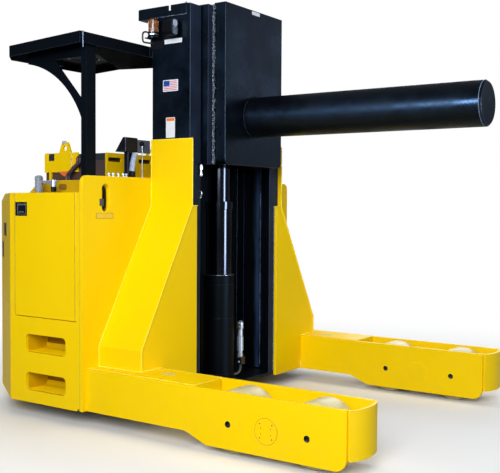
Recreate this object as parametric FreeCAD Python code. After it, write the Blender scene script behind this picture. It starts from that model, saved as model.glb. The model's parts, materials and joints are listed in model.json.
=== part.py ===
import FreeCAD, Part
import math
import os

from FreeCAD import Vector

# Ride-on straddle lift truck for handling steel coils with a single ram.
# Millimetres. +X points forward along the ram, +Y to the truck's left, +Z up.
# The origin is on the floor, under the middle of the truck's length and width.
# "set back" and "set ahead" are distances behind and ahead of the bulkhead's front face.

# ---------------------------------------------------------------- rear body
body_half_width = 1315.0
body_bottom = 105.0
rear_corner_length = 465.0     # the long chamfer between side and rear face, along X
rear_corner_width = 307.0      # and along Y
sheet = 25.0                   # thickness of side panels and inner walls
bulkhead_thickness = 29.0
bulkhead_top = 1728.0
bulkhead_top_radius = 55.0
side_top = 1610.0
side_front_bevel = 28.0        # corner cut off each side panel at its lower front
seam_height = 782.0            # joint between counterweight and rear cover
counterweight_thickness = 170.0
cover_thickness = 50.0
cover_crown_height = 57.0      # the cover's top edge leans in over this height
cover_crown_inset = 25.0
deck_height = 720.0
deck_thickness = 20.0
floor_thickness = 25.0
sling_slot_width = 70.0        # obround slots in the bulkhead for a lifting sling
sling_slot_bottom = 1477.0
sling_slot_top = 1673.0
sling_slot_side = 226.0        # slot's middle to the body's side
sling_slot_clearance = 15.0

# ---------------------------------------------------------------- entry door and steps
door_set_back = 59.0           # bulkhead face to the hinge side of the door's opening
door_width = 608.0
door_gap = 6.0
door_thickness = 25.0
hinge_radius = 6.0
hinge_knuckles = 9
hinge_knuckle_gap = 2.0
hinge_leaf = 3.0
latch_set_back = 615.0         # bulkhead face to the middle of the latch
latch_width = 125.0
latch_height = 100.0
latch_middle = 1494.0
latch_depth = 20.0
latch_frame = 9.0
latch_proud = 4.0
latch_paddle_inset = 6.0
step_set_back = 163.0          # bulkhead face to the front of the steps
step_width = 408.0
step_height = 130.0
step_low = 192.0
step_pitch = 276.0
step_depth = 190.0
step_sheet = 8.0
step_corner = 18.0

# ---------------------------------------------------------------- mast
mast_half_width = 593.0
mast_depth = 357.0
mast_bottom = 115.0
mast_top = 2910.0
rail_web = 28.0
rail_flange = 30.0
rail_flange_reach = 128.0
back_plate = 20.0
back_plate_top = 2050.0
mast_floor = 25.0
top_plate_thickness = 79.0
top_plate_overhang = 162.0
top_plate_arm = 320.0
top_plate_corner = 40.0
top_plate_round = 22.0
top_notch_set_ahead = 148.0
top_notch_width = 24.0
top_notch_floor = 40.0
top_notch_wall = 14.0          # left standing outside the recess behind the notch
top_notch_recess = 100.0
flange_top = 2984.0            # the rail's front flange stands above its web

# ---------------------------------------------------------------- mast braces
brace_plate = 22.0
brace_front_set = 27.0         # front plate stands this far ahead of the mast
brace_band_proud = 5.0         # and the sloping band this far ahead of the front plate
brace_outer = 13.0             # side plate stands this far outside the mast
brace_top = 2009.0
brace_bend = 1523.0
brace_foot = 542.0
brace_foot_set = 124.0         # outrigger's outer face to the foot of the band
brace_inner_y = 540.0

# ---------------------------------------------------------------- outriggers
outrigger_side_set = 36.0      # body's side to the outrigger's outer face
outrigger_plate = 22.0
outrigger_length = 2013.0      # bulkhead face to the front end of the side plates
outrigger_top = 396.0
outrigger_shallow_bottom = 108.0
outrigger_deep_bottom = 42.0
outrigger_toe_radius = 80.0
step_down_before_bogie = 611.0 # where the side plates start to deepen
step_down_length = 167.0
step_down_radius = 90.0
cover_before_bogie = 554.0     # end of the outrigger's cover to the bogie's middle
cover_top = 400.0
cover_plate = 20.0
end_wall_slit = 18.0
end_wall_bottom = 168.0
bottom_plate_end = 60.0        # the bottom plate stops this far short of the deepening
nose_gap = 16.0
nose_plate = 20.0
nose_lip = 4.0
nose_bulge = 46.0
nose_return_plate = 12.0
nose_return_lap = 40.0

# ---------------------------------------------------------------- load wheels and bogies
wheel_radius = 196.0
wheel_width = 228.0
wheel_edge = 14.0
wheel_pitch = 558.0
bogie_to_front = 535.0         # bogie's middle to the front end of the side plates
axle_radius = 25.0
axle_hole_radius = 20.5
bogie_plate = 20.0
bogie_clearance = 5.0
bogie_side_gap = 10.5          # bogie plate to the outrigger's plate
bogie_half_height = 62.0
bogie_corner = 56.0
bogie_hub_radius = 56.0
bogie_pin_radius = 37.0
pivot_disc_radius = 79.0
pivot_disc_height = 1.5
running_fit = 0.3

# ---------------------------------------------------------------- drive unit
drive_set_back = 660.0
drive_wheel_radius = 190.0
drive_wheel_width = 150.0
drive_wheel_edge = 16.0
drive_axle_radius = 30.0
fork_plate = 24.0
fork_clearance = 8.0
fork_half_length = 110.0
fork_foot = 60.0
turntable_radius = 170.0
turntable_thickness = 40.0
turntable_gap = 14.0
king_pin_radius = 45.0
king_pin_gap = 1.0
housing_half = 330.0
housing_clearance = 8.0

# ---------------------------------------------------------------- carriage and ram
carriage_set_ahead = 519.0     # bulkhead face to the carriage plate's front face
carriage_plate_thickness = 104.0
carriage_half_width = 384.0
carriage_bottom = 1829.0
carriage_top = 3014.0
carriage_corner = 45.0
carriage_bar_width = 81.0
carriage_bar_outer = 456.0
carriage_bar_clearance = 60.0
carriage_bar_drop = 20.0       # bars and tie stop this far below the plate's top
carriage_tie_depth = 58.0
carriage_tie_inset = 12.0
carriage_foot_reach = 90.0
roller_radius = 143.0
roller_width = 80.0
roller_low_inset = 190.0
roller_high_inset = 262.0
ram_radius = 152.4
ram_length = 1828.0
ram_height = 2201.0
ram_chamfer = 14.0
lift_travel = 1650.0

# ---------------------------------------------------------------- lift cylinder
cylinder_set_ahead = 185.0
barrel_radius = 122.0
barrel_wall = 17.0
barrel_top = 980.0
barrel_foot = 60.0
stage_fit = 1.0                # round each stage and the rod, inside the next tube
stage_1_wall = 16.0
stage_2_wall = 17.0
collar_height = 63.0
collar_rim = 7.0
stage_gap = 5.0
stage_overlap = 90.0
stage_1_travel = 510.0
stage_2_travel = 560.0
rod_foot_thickness = 60.0

# ---------------------------------------------------------------- overhead guard
guard_length = 815.0
guard_side_set = 9.0           # body's side to the guard's outer edge
guard_inner_y = 385.0
guard_corner = 98.0
guard_top_front = 2706.0
guard_top_rear = 2668.0
guard_roof = 25.0
guard_sheet = 10.0
guard_skirt = 78.0
guard_square_length = 315.0    # the inner edge runs straight this far from the rear
guard_diagonal = 295.0         # then widens by this much to the front
guard_slot_width = 34.0
guard_slot_length = 150.0
guard_slot_rows = 4
guard_slots_in_row = 5
guard_slot_pitch_x = 133.0
guard_slot_pitch_y = 192.0
guard_slot_front = 120.0
guard_slot_side = 250.0
guard_slot_margin = 20.0
guard_bracket_width = 100.0
guard_bracket_drop = 10.0
post_depth = 50.0
post_width = 92.0
post_wall = 6.0
post_side_set = 101.0          # body's side to the post
post_set_back = 62.0           # bulkhead face to the post's front face
post_brace_thickness = 10.0
post_brace_length = 583.0      # the curved gusset between post and guard
post_brace_rear_low = 2552.0
post_brace_low = 2082.0
post_brace_foot = 19.0
post_brace_bow = 100.0
post_brace_gap = 0.5
post_window_set = 32.0
post_window_top = 2560.0
post_window_height = 298.0
post_window_length = 275.0
post_window_corner = 8.0
guard_box_length = 98.0        # small electrical box under the guard
guard_box_width = 219.0
guard_box_bottom = 2590.0
guard_box_set_back = 713.0
guard_box_y = 809.0

# ---------------------------------------------------------------- battery
battery_set_back = 360.0       # bulkhead face to the battery's front plate
battery_length = 688.0
battery_rear_space = 101.0
battery_side_y = 700.0
battery_width = 1032.0
battery_bottom = 860.0
battery_plate = 16.0           # lifting frame round the battery case
battery_front_plate = 20.0
battery_case_top = 1869.0
battery_lid_height = 54.0
battery_front_top = 1924.0
battery_floor_sheet = 20.0
battery_clearance = 12.0
lift_slot_length = 155.0
lift_slot_height = 34.0
lift_slot_drop = 34.0
lift_slot_places = (82.0, 427.0)   # slot middles, either side of the battery's middle
lug_plate_length = 372.0
lug_plate_bottom = 1783.0
lug_plate_top = 1935.0
lug_height = 85.0
lug_foot = 66.0
lug_tip = 32.0
lug_place = 232.0              # rear end of the plate to the eye
lug_hole_radius = 20.5
lug_hole_height = 34.0
lug_corner = 24.0
corner_post_width = 20.0
corner_post_set = 52.0
cable_radius = 11.0
cable_pitch = 30.0
cable_start_set = 298.0        # battery's front to where the cables leave the lid
cable_start_height = 1897.0
cable_fall = 47.0
cable_run = 120.0
cable_slope_drop = 90.0
cable_stand_off = 18.0
cable_first_bend = 40.0
cable_last_bend = 60.0
connector_top = 1700.0
connector_length = 150.0
connector_height = 70.0
connector_thickness = 45.0

# ---------------------------------------------------------------- partition, covers and controls
partition_gap = 45.0           # battery's side to the partition
partition_top = 1716.0
partition_slope_length = 120.0
partition_slope_drop = 94.0
partition_corner = 30.0
inner_cover_sheet = 12.0
shelf_thickness = 12.0
shelf_depth = 180.0
shelf_outer_y = 1045.0
shelf_inner_y = 515.0
console_y = 756.0
console_width = 133.0
column_width = 84.0
column_depth = 40.0
column_set = 50.0              # behind the bulkhead's rear face
head_bottom = 1917.0
head_top = 2022.0
head_length = 104.0
head_top_length = 26.0
head_set = 30.0
head_corner = 8.0
grip_set = 25.0                # grip, lever and screen stand this far behind the bulkhead
grip_y = 740.0
grip_lean = 38.0
grip_bottom = 1777.0
grip_top = 1907.0
grip_radius = 22.0
grip_stem_radius = 13.0
lever_set = 35.0
lever_y = 635.0
lever_rod_radius = 6.0
lever_ball_radius = 15.0
lever_top = 2000.0
screen_low = 1913.0
screen_high = 2012.0
screen_half_width = 73.0
screen_thickness = 12.0
screen_y = 602.0
screen_set = 50.0
screen_stalk = 18.0
switch_places = (1000.0, 957.0, 905.0, 850.0, 820.0)
switch_radius = 9.0
switch_height = 48.0
rest_set = 130.0               # leaning post, from the partition
rest_set_back = 890.0
rest_size = 62.0
rest_low = 1600.0
rest_top = 1754.0
rest_corner = 14.0
rest_post_radius = 20.0
handle_reach = 163.0
handle_height = 1698.0
handle_thickness = 14.0
handle_hub_radius = 19.0
handle_hub_low = 1662.0
handle_hub_top = 1716.0
handle_wing = 62.0
knob_radius = 21.0
knob_low = 1624.0

# ---------------------------------------------------------------- lamps on the mast
lamp_set = 57.0                # mast's side to the middle of each lamp
beacon_set_ahead = 56.0
beacon_base_radius = 42.0
beacon_base_height = 36.0
beacon_dome_radius = 38.0
beacon_dome_height = 110.0
beacon_shelf_bottom = 2746.0
beacon_shelf_thickness = 6.0
beacon_shelf_half = 46.0
bracket_set_back = 15.0
bracket_length = 126.0
bracket_bottom = 2675.0
wire_radius = 4.0
wire_reach = 62.0
wire_top = 2770.0
wire_bottom = 2722.0
work_light_set_ahead = 261.0
work_light_height = 2812.0
work_light_lens_width = 72.0
work_light_lens_height = 130.0
work_light_depth = 100.0
work_light_taper = 0.7
work_light_stem = 28.0

# ---------------------------------------------------------------- worked-out places
body_length = battery_set_back + battery_length + battery_rear_space + cover_thickness
ram_tip_set_ahead = carriage_set_ahead + ram_length
bulkhead_x = (body_length - ram_tip_set_ahead) / 2
body_rear = bulkhead_x - body_length
side_rear = body_rear + rear_corner_length
bulkhead_rear = bulkhead_x - bulkhead_thickness
corner_angle = math.atan2(rear_corner_width, rear_corner_length)
mast_rear = bulkhead_x
mast_front = mast_rear + mast_depth
mast_inner = mast_half_width - rail_flange_reach
mast_web = mast_half_width - rail_web
brace_front = mast_front + brace_front_set
wheel_room = wheel_width + 2 * (bogie_clearance + bogie_plate + bogie_side_gap)
outrigger_width = wheel_room + 2 * outrigger_plate
outrigger_outer_y = body_half_width - outrigger_side_set
outrigger_inner_y = outrigger_outer_y - outrigger_width
brace_foot_y = outrigger_outer_y - brace_foot_set
outrigger_middle_y = outrigger_outer_y - outrigger_width / 2
outrigger_front = bulkhead_x + outrigger_length
bogie_x = outrigger_front - bogie_to_front
step_down_start = bogie_x - step_down_before_bogie
step_down_end = step_down_start + step_down_length
cover_end = bogie_x - cover_before_bogie
axle_height = wheel_radius
drive_x = bulkhead_x - drive_set_back
cylinder_x = bulkhead_x + cylinder_set_ahead
carriage_front = bulkhead_x + carriage_set_ahead
carriage_back = carriage_front - carriage_plate_thickness
crown_bottom = 2 * drive_wheel_radius + housing_clearance
yoke_top = crown_bottom + fork_plate + turntable_thickness
stage_1_radius = barrel_radius - barrel_wall - stage_fit
stage_2_radius = stage_1_radius - stage_1_wall - stage_fit
rod_radius = stage_2_radius - stage_2_wall - stage_fit
stage_1_top = barrel_top + stage_gap + stage_1_travel + collar_height
stage_2_top = stage_1_top + stage_gap + stage_2_travel + collar_height
rod_foot = stage_2_top + stage_gap + lift_travel - stage_1_travel - stage_2_travel
door_front = bulkhead_x - door_set_back - 2 * hinge_radius - hinge_knuckle_gap
door_rear = door_front - door_width
hinge_x = bulkhead_x - door_set_back - hinge_radius - hinge_knuckle_gap / 2
hinge_y = body_half_width - hinge_radius
step_front = bulkhead_x - step_set_back
step_rear = step_front - step_width
step_floors = (step_low, step_low + step_pitch)
battery_front = bulkhead_x - battery_set_back
battery_rear = battery_front - battery_length
battery_left_y = battery_width - battery_side_y
battery_middle_y = battery_left_y - battery_width / 2
partition_inner_y = battery_side_y + partition_gap
partition_y = partition_inner_y + sheet
rest_y = partition_y + rest_set
lamp_y = mast_half_width + lamp_set
sling_slot_y = body_half_width - sling_slot_side
shelf_top = partition_top + shelf_thickness
guard_outer_y = body_half_width - guard_side_set
post_outer_y = body_half_width - post_side_set
guard_front = bulkhead_rear
guard_rear = guard_front - guard_length
post_front = bulkhead_x - post_set_back
post_rear = post_front - post_depth
post_middle_y = post_outer_y - post_width / 2
pieces = {}


# ---------------------------------------------------------------- shape helpers
def box(x, y, z):
    return Part.makeBox(x[1] - x[0], y[1] - y[0], z[1] - z[0], Vector(x[0], y[0], z[0]))


def rod(radius, start, end):
    start, end = Vector(*start), Vector(*end)
    return Part.makeCylinder(radius, (end - start).Length, start, end - start)


def tube(outer, wall, start, end):
    return rod(outer, start, end).cut(rod(outer - wall, start, end))


def outline(corners, to_vector):
    """A closed wire through (a, b) or (a, b, radius) corners, each radius as a tangent arc."""
    count = len(corners)
    starts, ends, mids = [], [], []
    for i, corner in enumerate(corners):
        here = to_vector(corner[0], corner[1])
        before = to_vector(*corners[i - 1][:2])
        after = to_vector(*corners[(i + 1) % count][:2])
        radius = corner[2] if len(corner) > 2 else 0.0
        if radius == 0.0:
            starts.append(here)
            ends.append(here)
            mids.append(None)
            continue
        u = (before - here).normalize()
        v = (after - here).normalize()
        half = u.getAngle(v) / 2
        middle = (u + v).normalize()
        starts.append(here + u * (radius / math.tan(half)))
        ends.append(here + v * (radius / math.tan(half)))
        mids.append(here + middle * (radius / math.sin(half) - radius))
    edges = []
    for i in range(count):
        if mids[i] is not None:
            edges.append(Part.Arc(starts[i], mids[i], ends[i]).toShape())
        after = starts[(i + 1) % count]
        if (after - ends[i]).Length > 1e-6:
            edges.append(Part.LineSegment(ends[i], after).toShape())
    return Part.Face(Part.Wire(edges))


def slab_xz(corners, y):
    face = outline(corners, lambda a, b: Vector(a, y[0], b))
    return face.extrude(Vector(0, y[1] - y[0], 0))


def slab_yz(corners, x):
    face = outline(corners, lambda a, b: Vector(x[0], a, b))
    return face.extrude(Vector(x[1] - x[0], 0, 0))


def slab_xy(corners, z):
    face = outline(corners, lambda a, b: Vector(a, b, z[0]))
    return face.extrude(Vector(0, 0, z[1] - z[0]))


def join(*shapes):
    shapes = list(shapes)
    return shapes[0].fuse(shapes[1:]).removeSplitter()


def cut(shape, *tools):
    return shape.cut(list(tools))


def to_side(shape, side):
    """Pieces are drawn on the left, +Y; side -1 gives the right-hand one."""
    return shape if side > 0 else shape.mirror(Vector(0, 0, 0), Vector(0, 1, 0))


def add(name, shape):
    pieces[name] = shape


SIDES = (("right", -1), ("left", 1))


# ---------------------------------------------------------------- chassis and rear body
def body_ring(inset):
    """Plan outline of the chamfered rear of the body, drawn inset from its outside."""
    edge = body_half_width - inset
    side_shift = inset * math.tan(corner_angle / 2)
    rear_shift = inset * math.tan((math.pi / 2 - corner_angle) / 2)
    rear = body_rear + inset
    rear_edge = body_half_width - rear_corner_width - rear_shift
    start = side_rear + side_shift
    return [(start, edge), (rear, rear_edge), (rear, -rear_edge), (start, -edge)]


def body_inside(inset, z):
    """Everything between the side panels, the bulkhead and a rear wall of thickness inset."""
    edge = body_half_width - sheet
    return join(box((side_rear, bulkhead_rear), (-edge, edge), z), slab_xy(body_ring(inset), z))


def chassis_frame():
    outer = housing_half + sheet
    top = yoke_top + turntable_gap
    inner_of_steps = body_half_width - sheet - step_depth - step_sheet
    z = (body_bottom, body_bottom + floor_thickness)
    floor = body_inside(counterweight_thickness, z).common(
        box((body_rear, bulkhead_rear), (-inner_of_steps, body_half_width), z))
    housing = box((drive_x - outer, drive_x + outer), (-outer, outer), (body_bottom, top + floor_thickness))
    hollow = box((drive_x - housing_half, drive_x + housing_half), (-housing_half, housing_half),
                 (body_bottom - 1, top))
    return cut(join(floor, housing), hollow)


def rear_counterweight():
    block = slab_xy(body_ring(0), (body_bottom, seam_height))
    inner = slab_xy(body_ring(counterweight_thickness), (body_bottom - 1, seam_height + 1))
    return cut(block, inner)


def ring_wire(inset, z):
    corners = [Vector(x, y, z) for x, y in body_ring(inset)]
    return Part.makePolygon(corners + corners[:1])


def rear_cover():
    crown = side_top - cover_crown_height
    shell = slab_xy(body_ring(0), (seam_height, crown))
    leaning = body_ring(cover_crown_inset)
    upper = [Vector(side_rear, body_half_width, side_top), Vector(leaning[1][0], leaning[1][1], side_top),
             Vector(leaning[2][0], leaning[2][1], side_top), Vector(side_rear, -body_half_width, side_top)]
    top_band = Part.makeLoft([ring_wire(0, crown), Part.makePolygon(upper + upper[:1])], True, True)
    inner = slab_xy(body_ring(cover_thickness), (seam_height - 1, side_top + 1))
    return cut(join(shell, top_band), inner)


def side_panel(side):
    y = (body_half_width - sheet, body_half_width)
    bevel = side_front_bevel
    front = bulkhead_rear
    panel = slab_xz([(side_rear, body_bottom), (front - bevel, body_bottom), (front, body_bottom + bevel),
                     (front, side_top), (side_rear, side_top)], y)
    if side < 0:
        opening = (door_rear - door_gap, bulkhead_x - door_set_back)
        panel = cut(panel, box(opening, (y[0] - 1, y[1] + 1), (deck_height, side_top + 1)))
        for z in step_floors:
            panel = cut(panel, slab_xz(step_outline(z), (y[0] - 1, y[1] + 1)))
        panel = join(panel, *hinge_half(1, bulkhead_x - door_set_back))
    return to_side(panel, side)


def hinge_half(first, edge_x):
    """Every second knuckle of the door hinge, from the first given, each with its leaf to edge_x."""
    low = deck_height + door_gap
    pitch = (side_top - low) / hinge_knuckles
    leaf_x = (min(edge_x, hinge_x), max(edge_x, hinge_x))
    half = []
    for i in range(first, hinge_knuckles, 2):
        z = (low + pitch * i + hinge_knuckle_gap / 2, low + pitch * (i + 1) - hinge_knuckle_gap / 2)
        half.append(rod(hinge_radius, (hinge_x, hinge_y, z[0]), (hinge_x, hinge_y, z[1])))
        half.append(box(leaf_x, (hinge_y - hinge_leaf / 2, hinge_y + hinge_leaf / 2), z))
    return half


def step_outline(z):
    r = step_corner
    top = z + step_height
    return [(step_rear, z, r), (step_front, z, r), (step_front, top, r), (step_rear, top, r)]


def step_pockets():
    inside = body_half_width - sheet
    shells = []
    for z in step_floors:
        block = box((step_rear - step_sheet, step_front + step_sheet), (inside - step_depth, inside),
                    (z - step_sheet, z + step_height + step_sheet))
        hollow = box((step_rear, step_front), (inside - step_depth + step_sheet, inside + 1),
                     (z, z + step_height))
        shells.append(cut(block, hollow))
    link = box((step_rear, step_front), (inside - step_depth, inside - step_depth + step_sheet),
               (step_low + step_height + step_sheet, step_low + step_pitch - step_sheet))
    return to_side(join(*shells, link), -1)


def latch_span(grow):
    x = bulkhead_x - latch_set_back
    return ((x - latch_width / 2 - grow, x + latch_width / 2 + grow),
            (latch_middle - latch_height / 2 - grow, latch_middle + latch_height / 2 + grow))


def entry_door():
    y = (body_half_width - door_thickness, body_half_width)
    panel = box((door_rear, door_front), y, (deck_height + door_gap, side_top))
    x, z = latch_span(0)
    recess = box(x, (body_half_width - latch_depth, body_half_width + 1), z)
    return to_side(join(cut(panel, recess), *hinge_half(0, door_front)), -1)


def door_latch():
    x, z = latch_span(0)
    depth = (body_half_width - latch_depth, body_half_width)
    case = box(x, depth, z)
    f = latch_frame
    hollow = box((x[0] + f, x[1] - f), (depth[0] + hinge_leaf, depth[1] + 1), (z[0] + f, z[1] - f))
    paddle_x = (x[0] + f + latch_paddle_inset, x[1] - f - latch_paddle_inset)
    paddle = box(paddle_x, (depth[0], depth[1] - latch_proud),
                 (z[0] + f + latch_paddle_inset, z[1] - f - latch_paddle_inset))
    return to_side(join(cut(case, hollow), paddle), -1)


def front_bulkhead():
    edge, r = body_half_width, bulkhead_top_radius
    plate = slab_yz([(-edge, body_bottom), (edge, body_bottom), (edge, bulkhead_top, r),
                     (-edge, bulkhead_top, r)], (bulkhead_rear, bulkhead_x))
    half = sling_slot_width / 2
    for y in (-sling_slot_y, sling_slot_y):
        slot = slab_yz([(y - half, sling_slot_bottom, half - 1), (y + half, sling_slot_bottom, half - 1),
                        (y + half, sling_slot_top, half - 1), (y - half, sling_slot_top, half - 1)],
                       (bulkhead_rear - 1, bulkhead_x + 1))
        plate = cut(plate, slot)
    return plate


def operator_deck():
    z = (deck_height - deck_thickness, deck_height)
    y = (-body_half_width + sheet + door_gap, -partition_y)
    return body_inside(counterweight_thickness, z).common(box((body_rear, bulkhead_rear), y, z))


def battery_partition():
    low = deck_height - deck_thickness
    weight_face = body_rear + counterweight_thickness
    cover_face = body_rear + cover_thickness
    wall = slab_xz([(weight_face, low), (bulkhead_rear, low), (bulkhead_rear, partition_top),
                    (cover_face + partition_slope_length, partition_top, partition_corner),
                    (cover_face, partition_top - partition_slope_drop), (cover_face, seam_height),
                    (weight_face, seam_height)], (partition_inner_y, partition_y))
    return to_side(wall, -1)


def battery_floor():
    z = (battery_bottom - battery_floor_sheet, battery_bottom)
    return body_inside(cover_thickness, z).common(
        box((body_rear, bulkhead_rear), (-partition_inner_y, body_half_width), z))


def inner_cover():
    """Closes the body at the top of its sides, round the battery and left of the partition."""
    z = (side_top - inner_cover_sheet, side_top)
    lid = body_inside(cover_thickness, z).common(
        box((body_rear, bulkhead_rear), (-partition_inner_y, body_half_width), z))
    gap = battery_clearance
    well = box((battery_rear - gap, battery_front + gap), (-partition_inner_y - 1, battery_left_y + gap),
               (z[0] - 1, z[1] + 1))
    half = sling_slot_width / 2 + sling_slot_clearance
    relief = box((bulkhead_rear - 2 * half, bulkhead_rear + 1), (sling_slot_y - half, sling_slot_y + half),
                 (z[0] - 1, z[1] + 1))
    return cut(lid, well, relief)


# ---------------------------------------------------------------- battery
def battery_case():
    p = battery_plate
    return box((battery_rear, battery_front - battery_front_plate),
               (-battery_side_y + p, battery_left_y - p), (battery_bottom, battery_case_top))


def battery_lid():
    p = battery_plate
    return box((battery_rear, battery_front - battery_front_plate), (-battery_side_y + p, battery_left_y - p),
               (battery_case_top, battery_case_top + battery_lid_height))


def battery_frame():
    y = (-battery_side_y, battery_left_y)
    p = battery_plate
    front = box((battery_front - battery_front_plate, battery_front), y, (battery_bottom, battery_front_top))
    for place in lift_slot_places:
        for centre in (battery_middle_y - place, battery_middle_y + place):
            top = battery_front_top - lift_slot_drop
            r = lift_slot_height / 2 - 1
            a, b = centre - lift_slot_length / 2, centre + lift_slot_length / 2
            low = top - lift_slot_height
            slot = slab_yz([(a, low, r), (b, low, r), (b, top, r), (a, top, r)],
                           (battery_front - battery_front_plate - 1, battery_front + 1))
            front = cut(front, slot)
    pieces_of_frame = [front]
    eye_x = battery_rear + lug_place
    eye_z = lug_plate_top + lug_hole_height
    post_x = battery_rear + corner_post_set
    for side_y in ((y[0], y[0] + p), (y[1] - p, y[1])):
        plate = slab_xz([
            (battery_rear, lug_plate_bottom), (battery_rear + lug_plate_length, lug_plate_bottom),
            (battery_rear + lug_plate_length, lug_plate_top), (eye_x + lug_foot, lug_plate_top),
            (eye_x + lug_tip, lug_plate_top + lug_height, lug_corner),
            (eye_x - lug_tip, lug_plate_top + lug_height, lug_corner),
            (eye_x - lug_foot, lug_plate_top), (battery_rear, lug_plate_top)], side_y)
        eye = rod(lug_hole_radius, (eye_x, side_y[0] - 1, eye_z), (eye_x, side_y[1] + 1, eye_z))
        pieces_of_frame.append(cut(plate, eye))
        pieces_of_frame.append(box((post_x, post_x + corner_post_width), side_y,
                                   (battery_bottom, lug_plate_bottom)))
        pieces_of_frame.append(box((battery_rear + lug_plate_length, battery_front), side_y,
                                   (battery_bottom, battery_bottom + lug_height)))
        pieces_of_frame.append(box((post_x, battery_front), side_y, (battery_bottom, battery_bottom + p)))
    return join(*pieces_of_frame)


def battery_cables():
    """Two cables out of the lid's side, down and back into the connector."""
    cables = []
    lid_side = -battery_side_y + battery_plate
    y = -battery_side_y - cable_stand_off
    for i in range(2):
        x = battery_front - cable_start_set + cable_pitch * i
        turn = cable_start_height - cable_fall
        top = cable_start_height
        points = [Vector(x, lid_side, top), Vector(x, y, top), Vector(x, y, turn),
                  Vector(x - cable_run, y, turn - cable_slope_drop), Vector(x - cable_run, y, connector_top)]
        cables.append(bent_tube(cable_radius, points, (cable_stand_off, cable_first_bend, cable_last_bend)))
    middle = battery_front - cable_start_set - cable_run + cable_pitch / 2
    connector = box((middle - connector_length / 2, middle + connector_length / 2),
                    (-partition_inner_y, -partition_inner_y + connector_thickness),
                    (connector_top - connector_height, connector_top + 1))
    return join(connector, *cables)


def bent_tube(radius, points, bends):
    """A round bar along straight runs joined by tangent arcs, one bend radius for each inner point."""
    edges = []
    start = points[0]
    for i, bend in enumerate(bends):
        here, after = points[i + 1], points[i + 2]
        u = (start - here).normalize()
        v = (after - here).normalize()
        half = u.getAngle(v) / 2
        reach = bend / math.tan(half)
        middle = (u + v).normalize()
        edges.append(Part.LineSegment(start, here + u * reach).toShape())
        arc_middle = here + middle * (bend / math.sin(half) - bend)
        edges.append(Part.Arc(here + u * reach, arc_middle, here + v * reach).toShape())
        start = here + v * reach
    edges.append(Part.LineSegment(start, points[-1]).toShape())
    path = Part.Wire(edges)
    along = (points[1] - points[0]).normalize()
    circle = Part.Wire(Part.Circle(points[0], along, radius).toShape())
    return path.makePipeShell([circle], True, True)


# ---------------------------------------------------------------- outriggers
def outrigger_side_outline(rear):
    return [
        (rear, outrigger_shallow_bottom),
        (step_down_start, outrigger_shallow_bottom, step_down_radius),
        (step_down_end, outrigger_deep_bottom, step_down_radius),
        (outrigger_front, outrigger_deep_bottom, outrigger_toe_radius),
        (outrigger_front, outrigger_top),
        (rear, outrigger_top),
    ]


def outrigger(side):
    inner, outer = outrigger_inner_y, outrigger_outer_y
    between = (inner + outrigger_plate, outer - outrigger_plate)
    outer_plate = slab_xz(outrigger_side_outline(bulkhead_x), (outer - outrigger_plate, outer))
    inner_plate = slab_xz(outrigger_side_outline(brace_front), (inner, inner + outrigger_plate))
    bottom = box((brace_front, step_down_start - bottom_plate_end), between,
                 (outrigger_shallow_bottom, outrigger_shallow_bottom + outrigger_plate))
    cover = box((brace_front, cover_end), between, (cover_top - cover_plate, cover_top))
    end_wall = box((cover_end - outrigger_plate, cover_end), (between[0] + end_wall_slit, between[1]),
                   (end_wall_bottom, cover_top - cover_plate))
    rear_strip = box((bulkhead_x, brace_front), (brace_foot_y, between[1]),
                     (cover_top - cover_plate, cover_top))
    body = join(outer_plate, inner_plate, bottom, cover, end_wall, rear_strip, nose())
    for x in (bogie_x - wheel_pitch / 2, bogie_x + wheel_pitch / 2):
        body = cut(body, rod(axle_hole_radius, (x, inner - 1, axle_height), (x, outer + 1, axle_height)))
    h = pivot_disc_height
    discs = [rod(pivot_disc_radius, (bogie_x, outer, axle_height), (bogie_x, outer + h, axle_height)),
             rod(pivot_disc_radius, (bogie_x, inner - h, axle_height), (bogie_x, inner, axle_height))]
    return to_side(join(body, *discs), side)


def nose():
    """A bent plate across the outrigger's front end, held by a return inside each side plate."""
    inner, outer, middle = outrigger_inner_y, outrigger_outer_y, outrigger_middle_y
    back = outrigger_front + nose_gap
    lip = back + nose_lip
    z = (outrigger_shallow_bottom, outrigger_top)
    outer_a, outer_b = Vector(lip, inner, z[0]), Vector(lip, outer, z[0])
    inner_a, inner_b = Vector(back, inner + nose_plate, z[0]), Vector(back, outer - nose_plate, z[0])
    back_a, back_b = Vector(back, inner, z[0]), Vector(back, outer, z[0])
    outer_tip = Vector(lip + nose_bulge, middle, z[0])
    inner_tip = Vector(lip + nose_bulge - nose_plate, middle, z[0])
    wire = Part.Wire([
        Part.LineSegment(back_a, outer_a).toShape(),
        Part.Arc(outer_a, outer_tip, outer_b).toShape(),
        Part.LineSegment(outer_b, back_b).toShape(),
        Part.LineSegment(back_b, inner_b).toShape(),
        Part.Arc(inner_b, inner_tip, inner_a).toShape(),
        Part.LineSegment(inner_a, back_a).toShape(),
    ])
    plate = Part.Face(wire).extrude(Vector(0, 0, z[1] - z[0]))
    returns = []
    for y in ((inner + outrigger_plate, inner + outrigger_plate + nose_return_plate),
              (outer - outrigger_plate - nose_return_plate, outer - outrigger_plate)):
        returns.append(box((outrigger_front - nose_return_lap, lip + nose_plate / 2), y, z))
    return join(plate, *returns)


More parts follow.
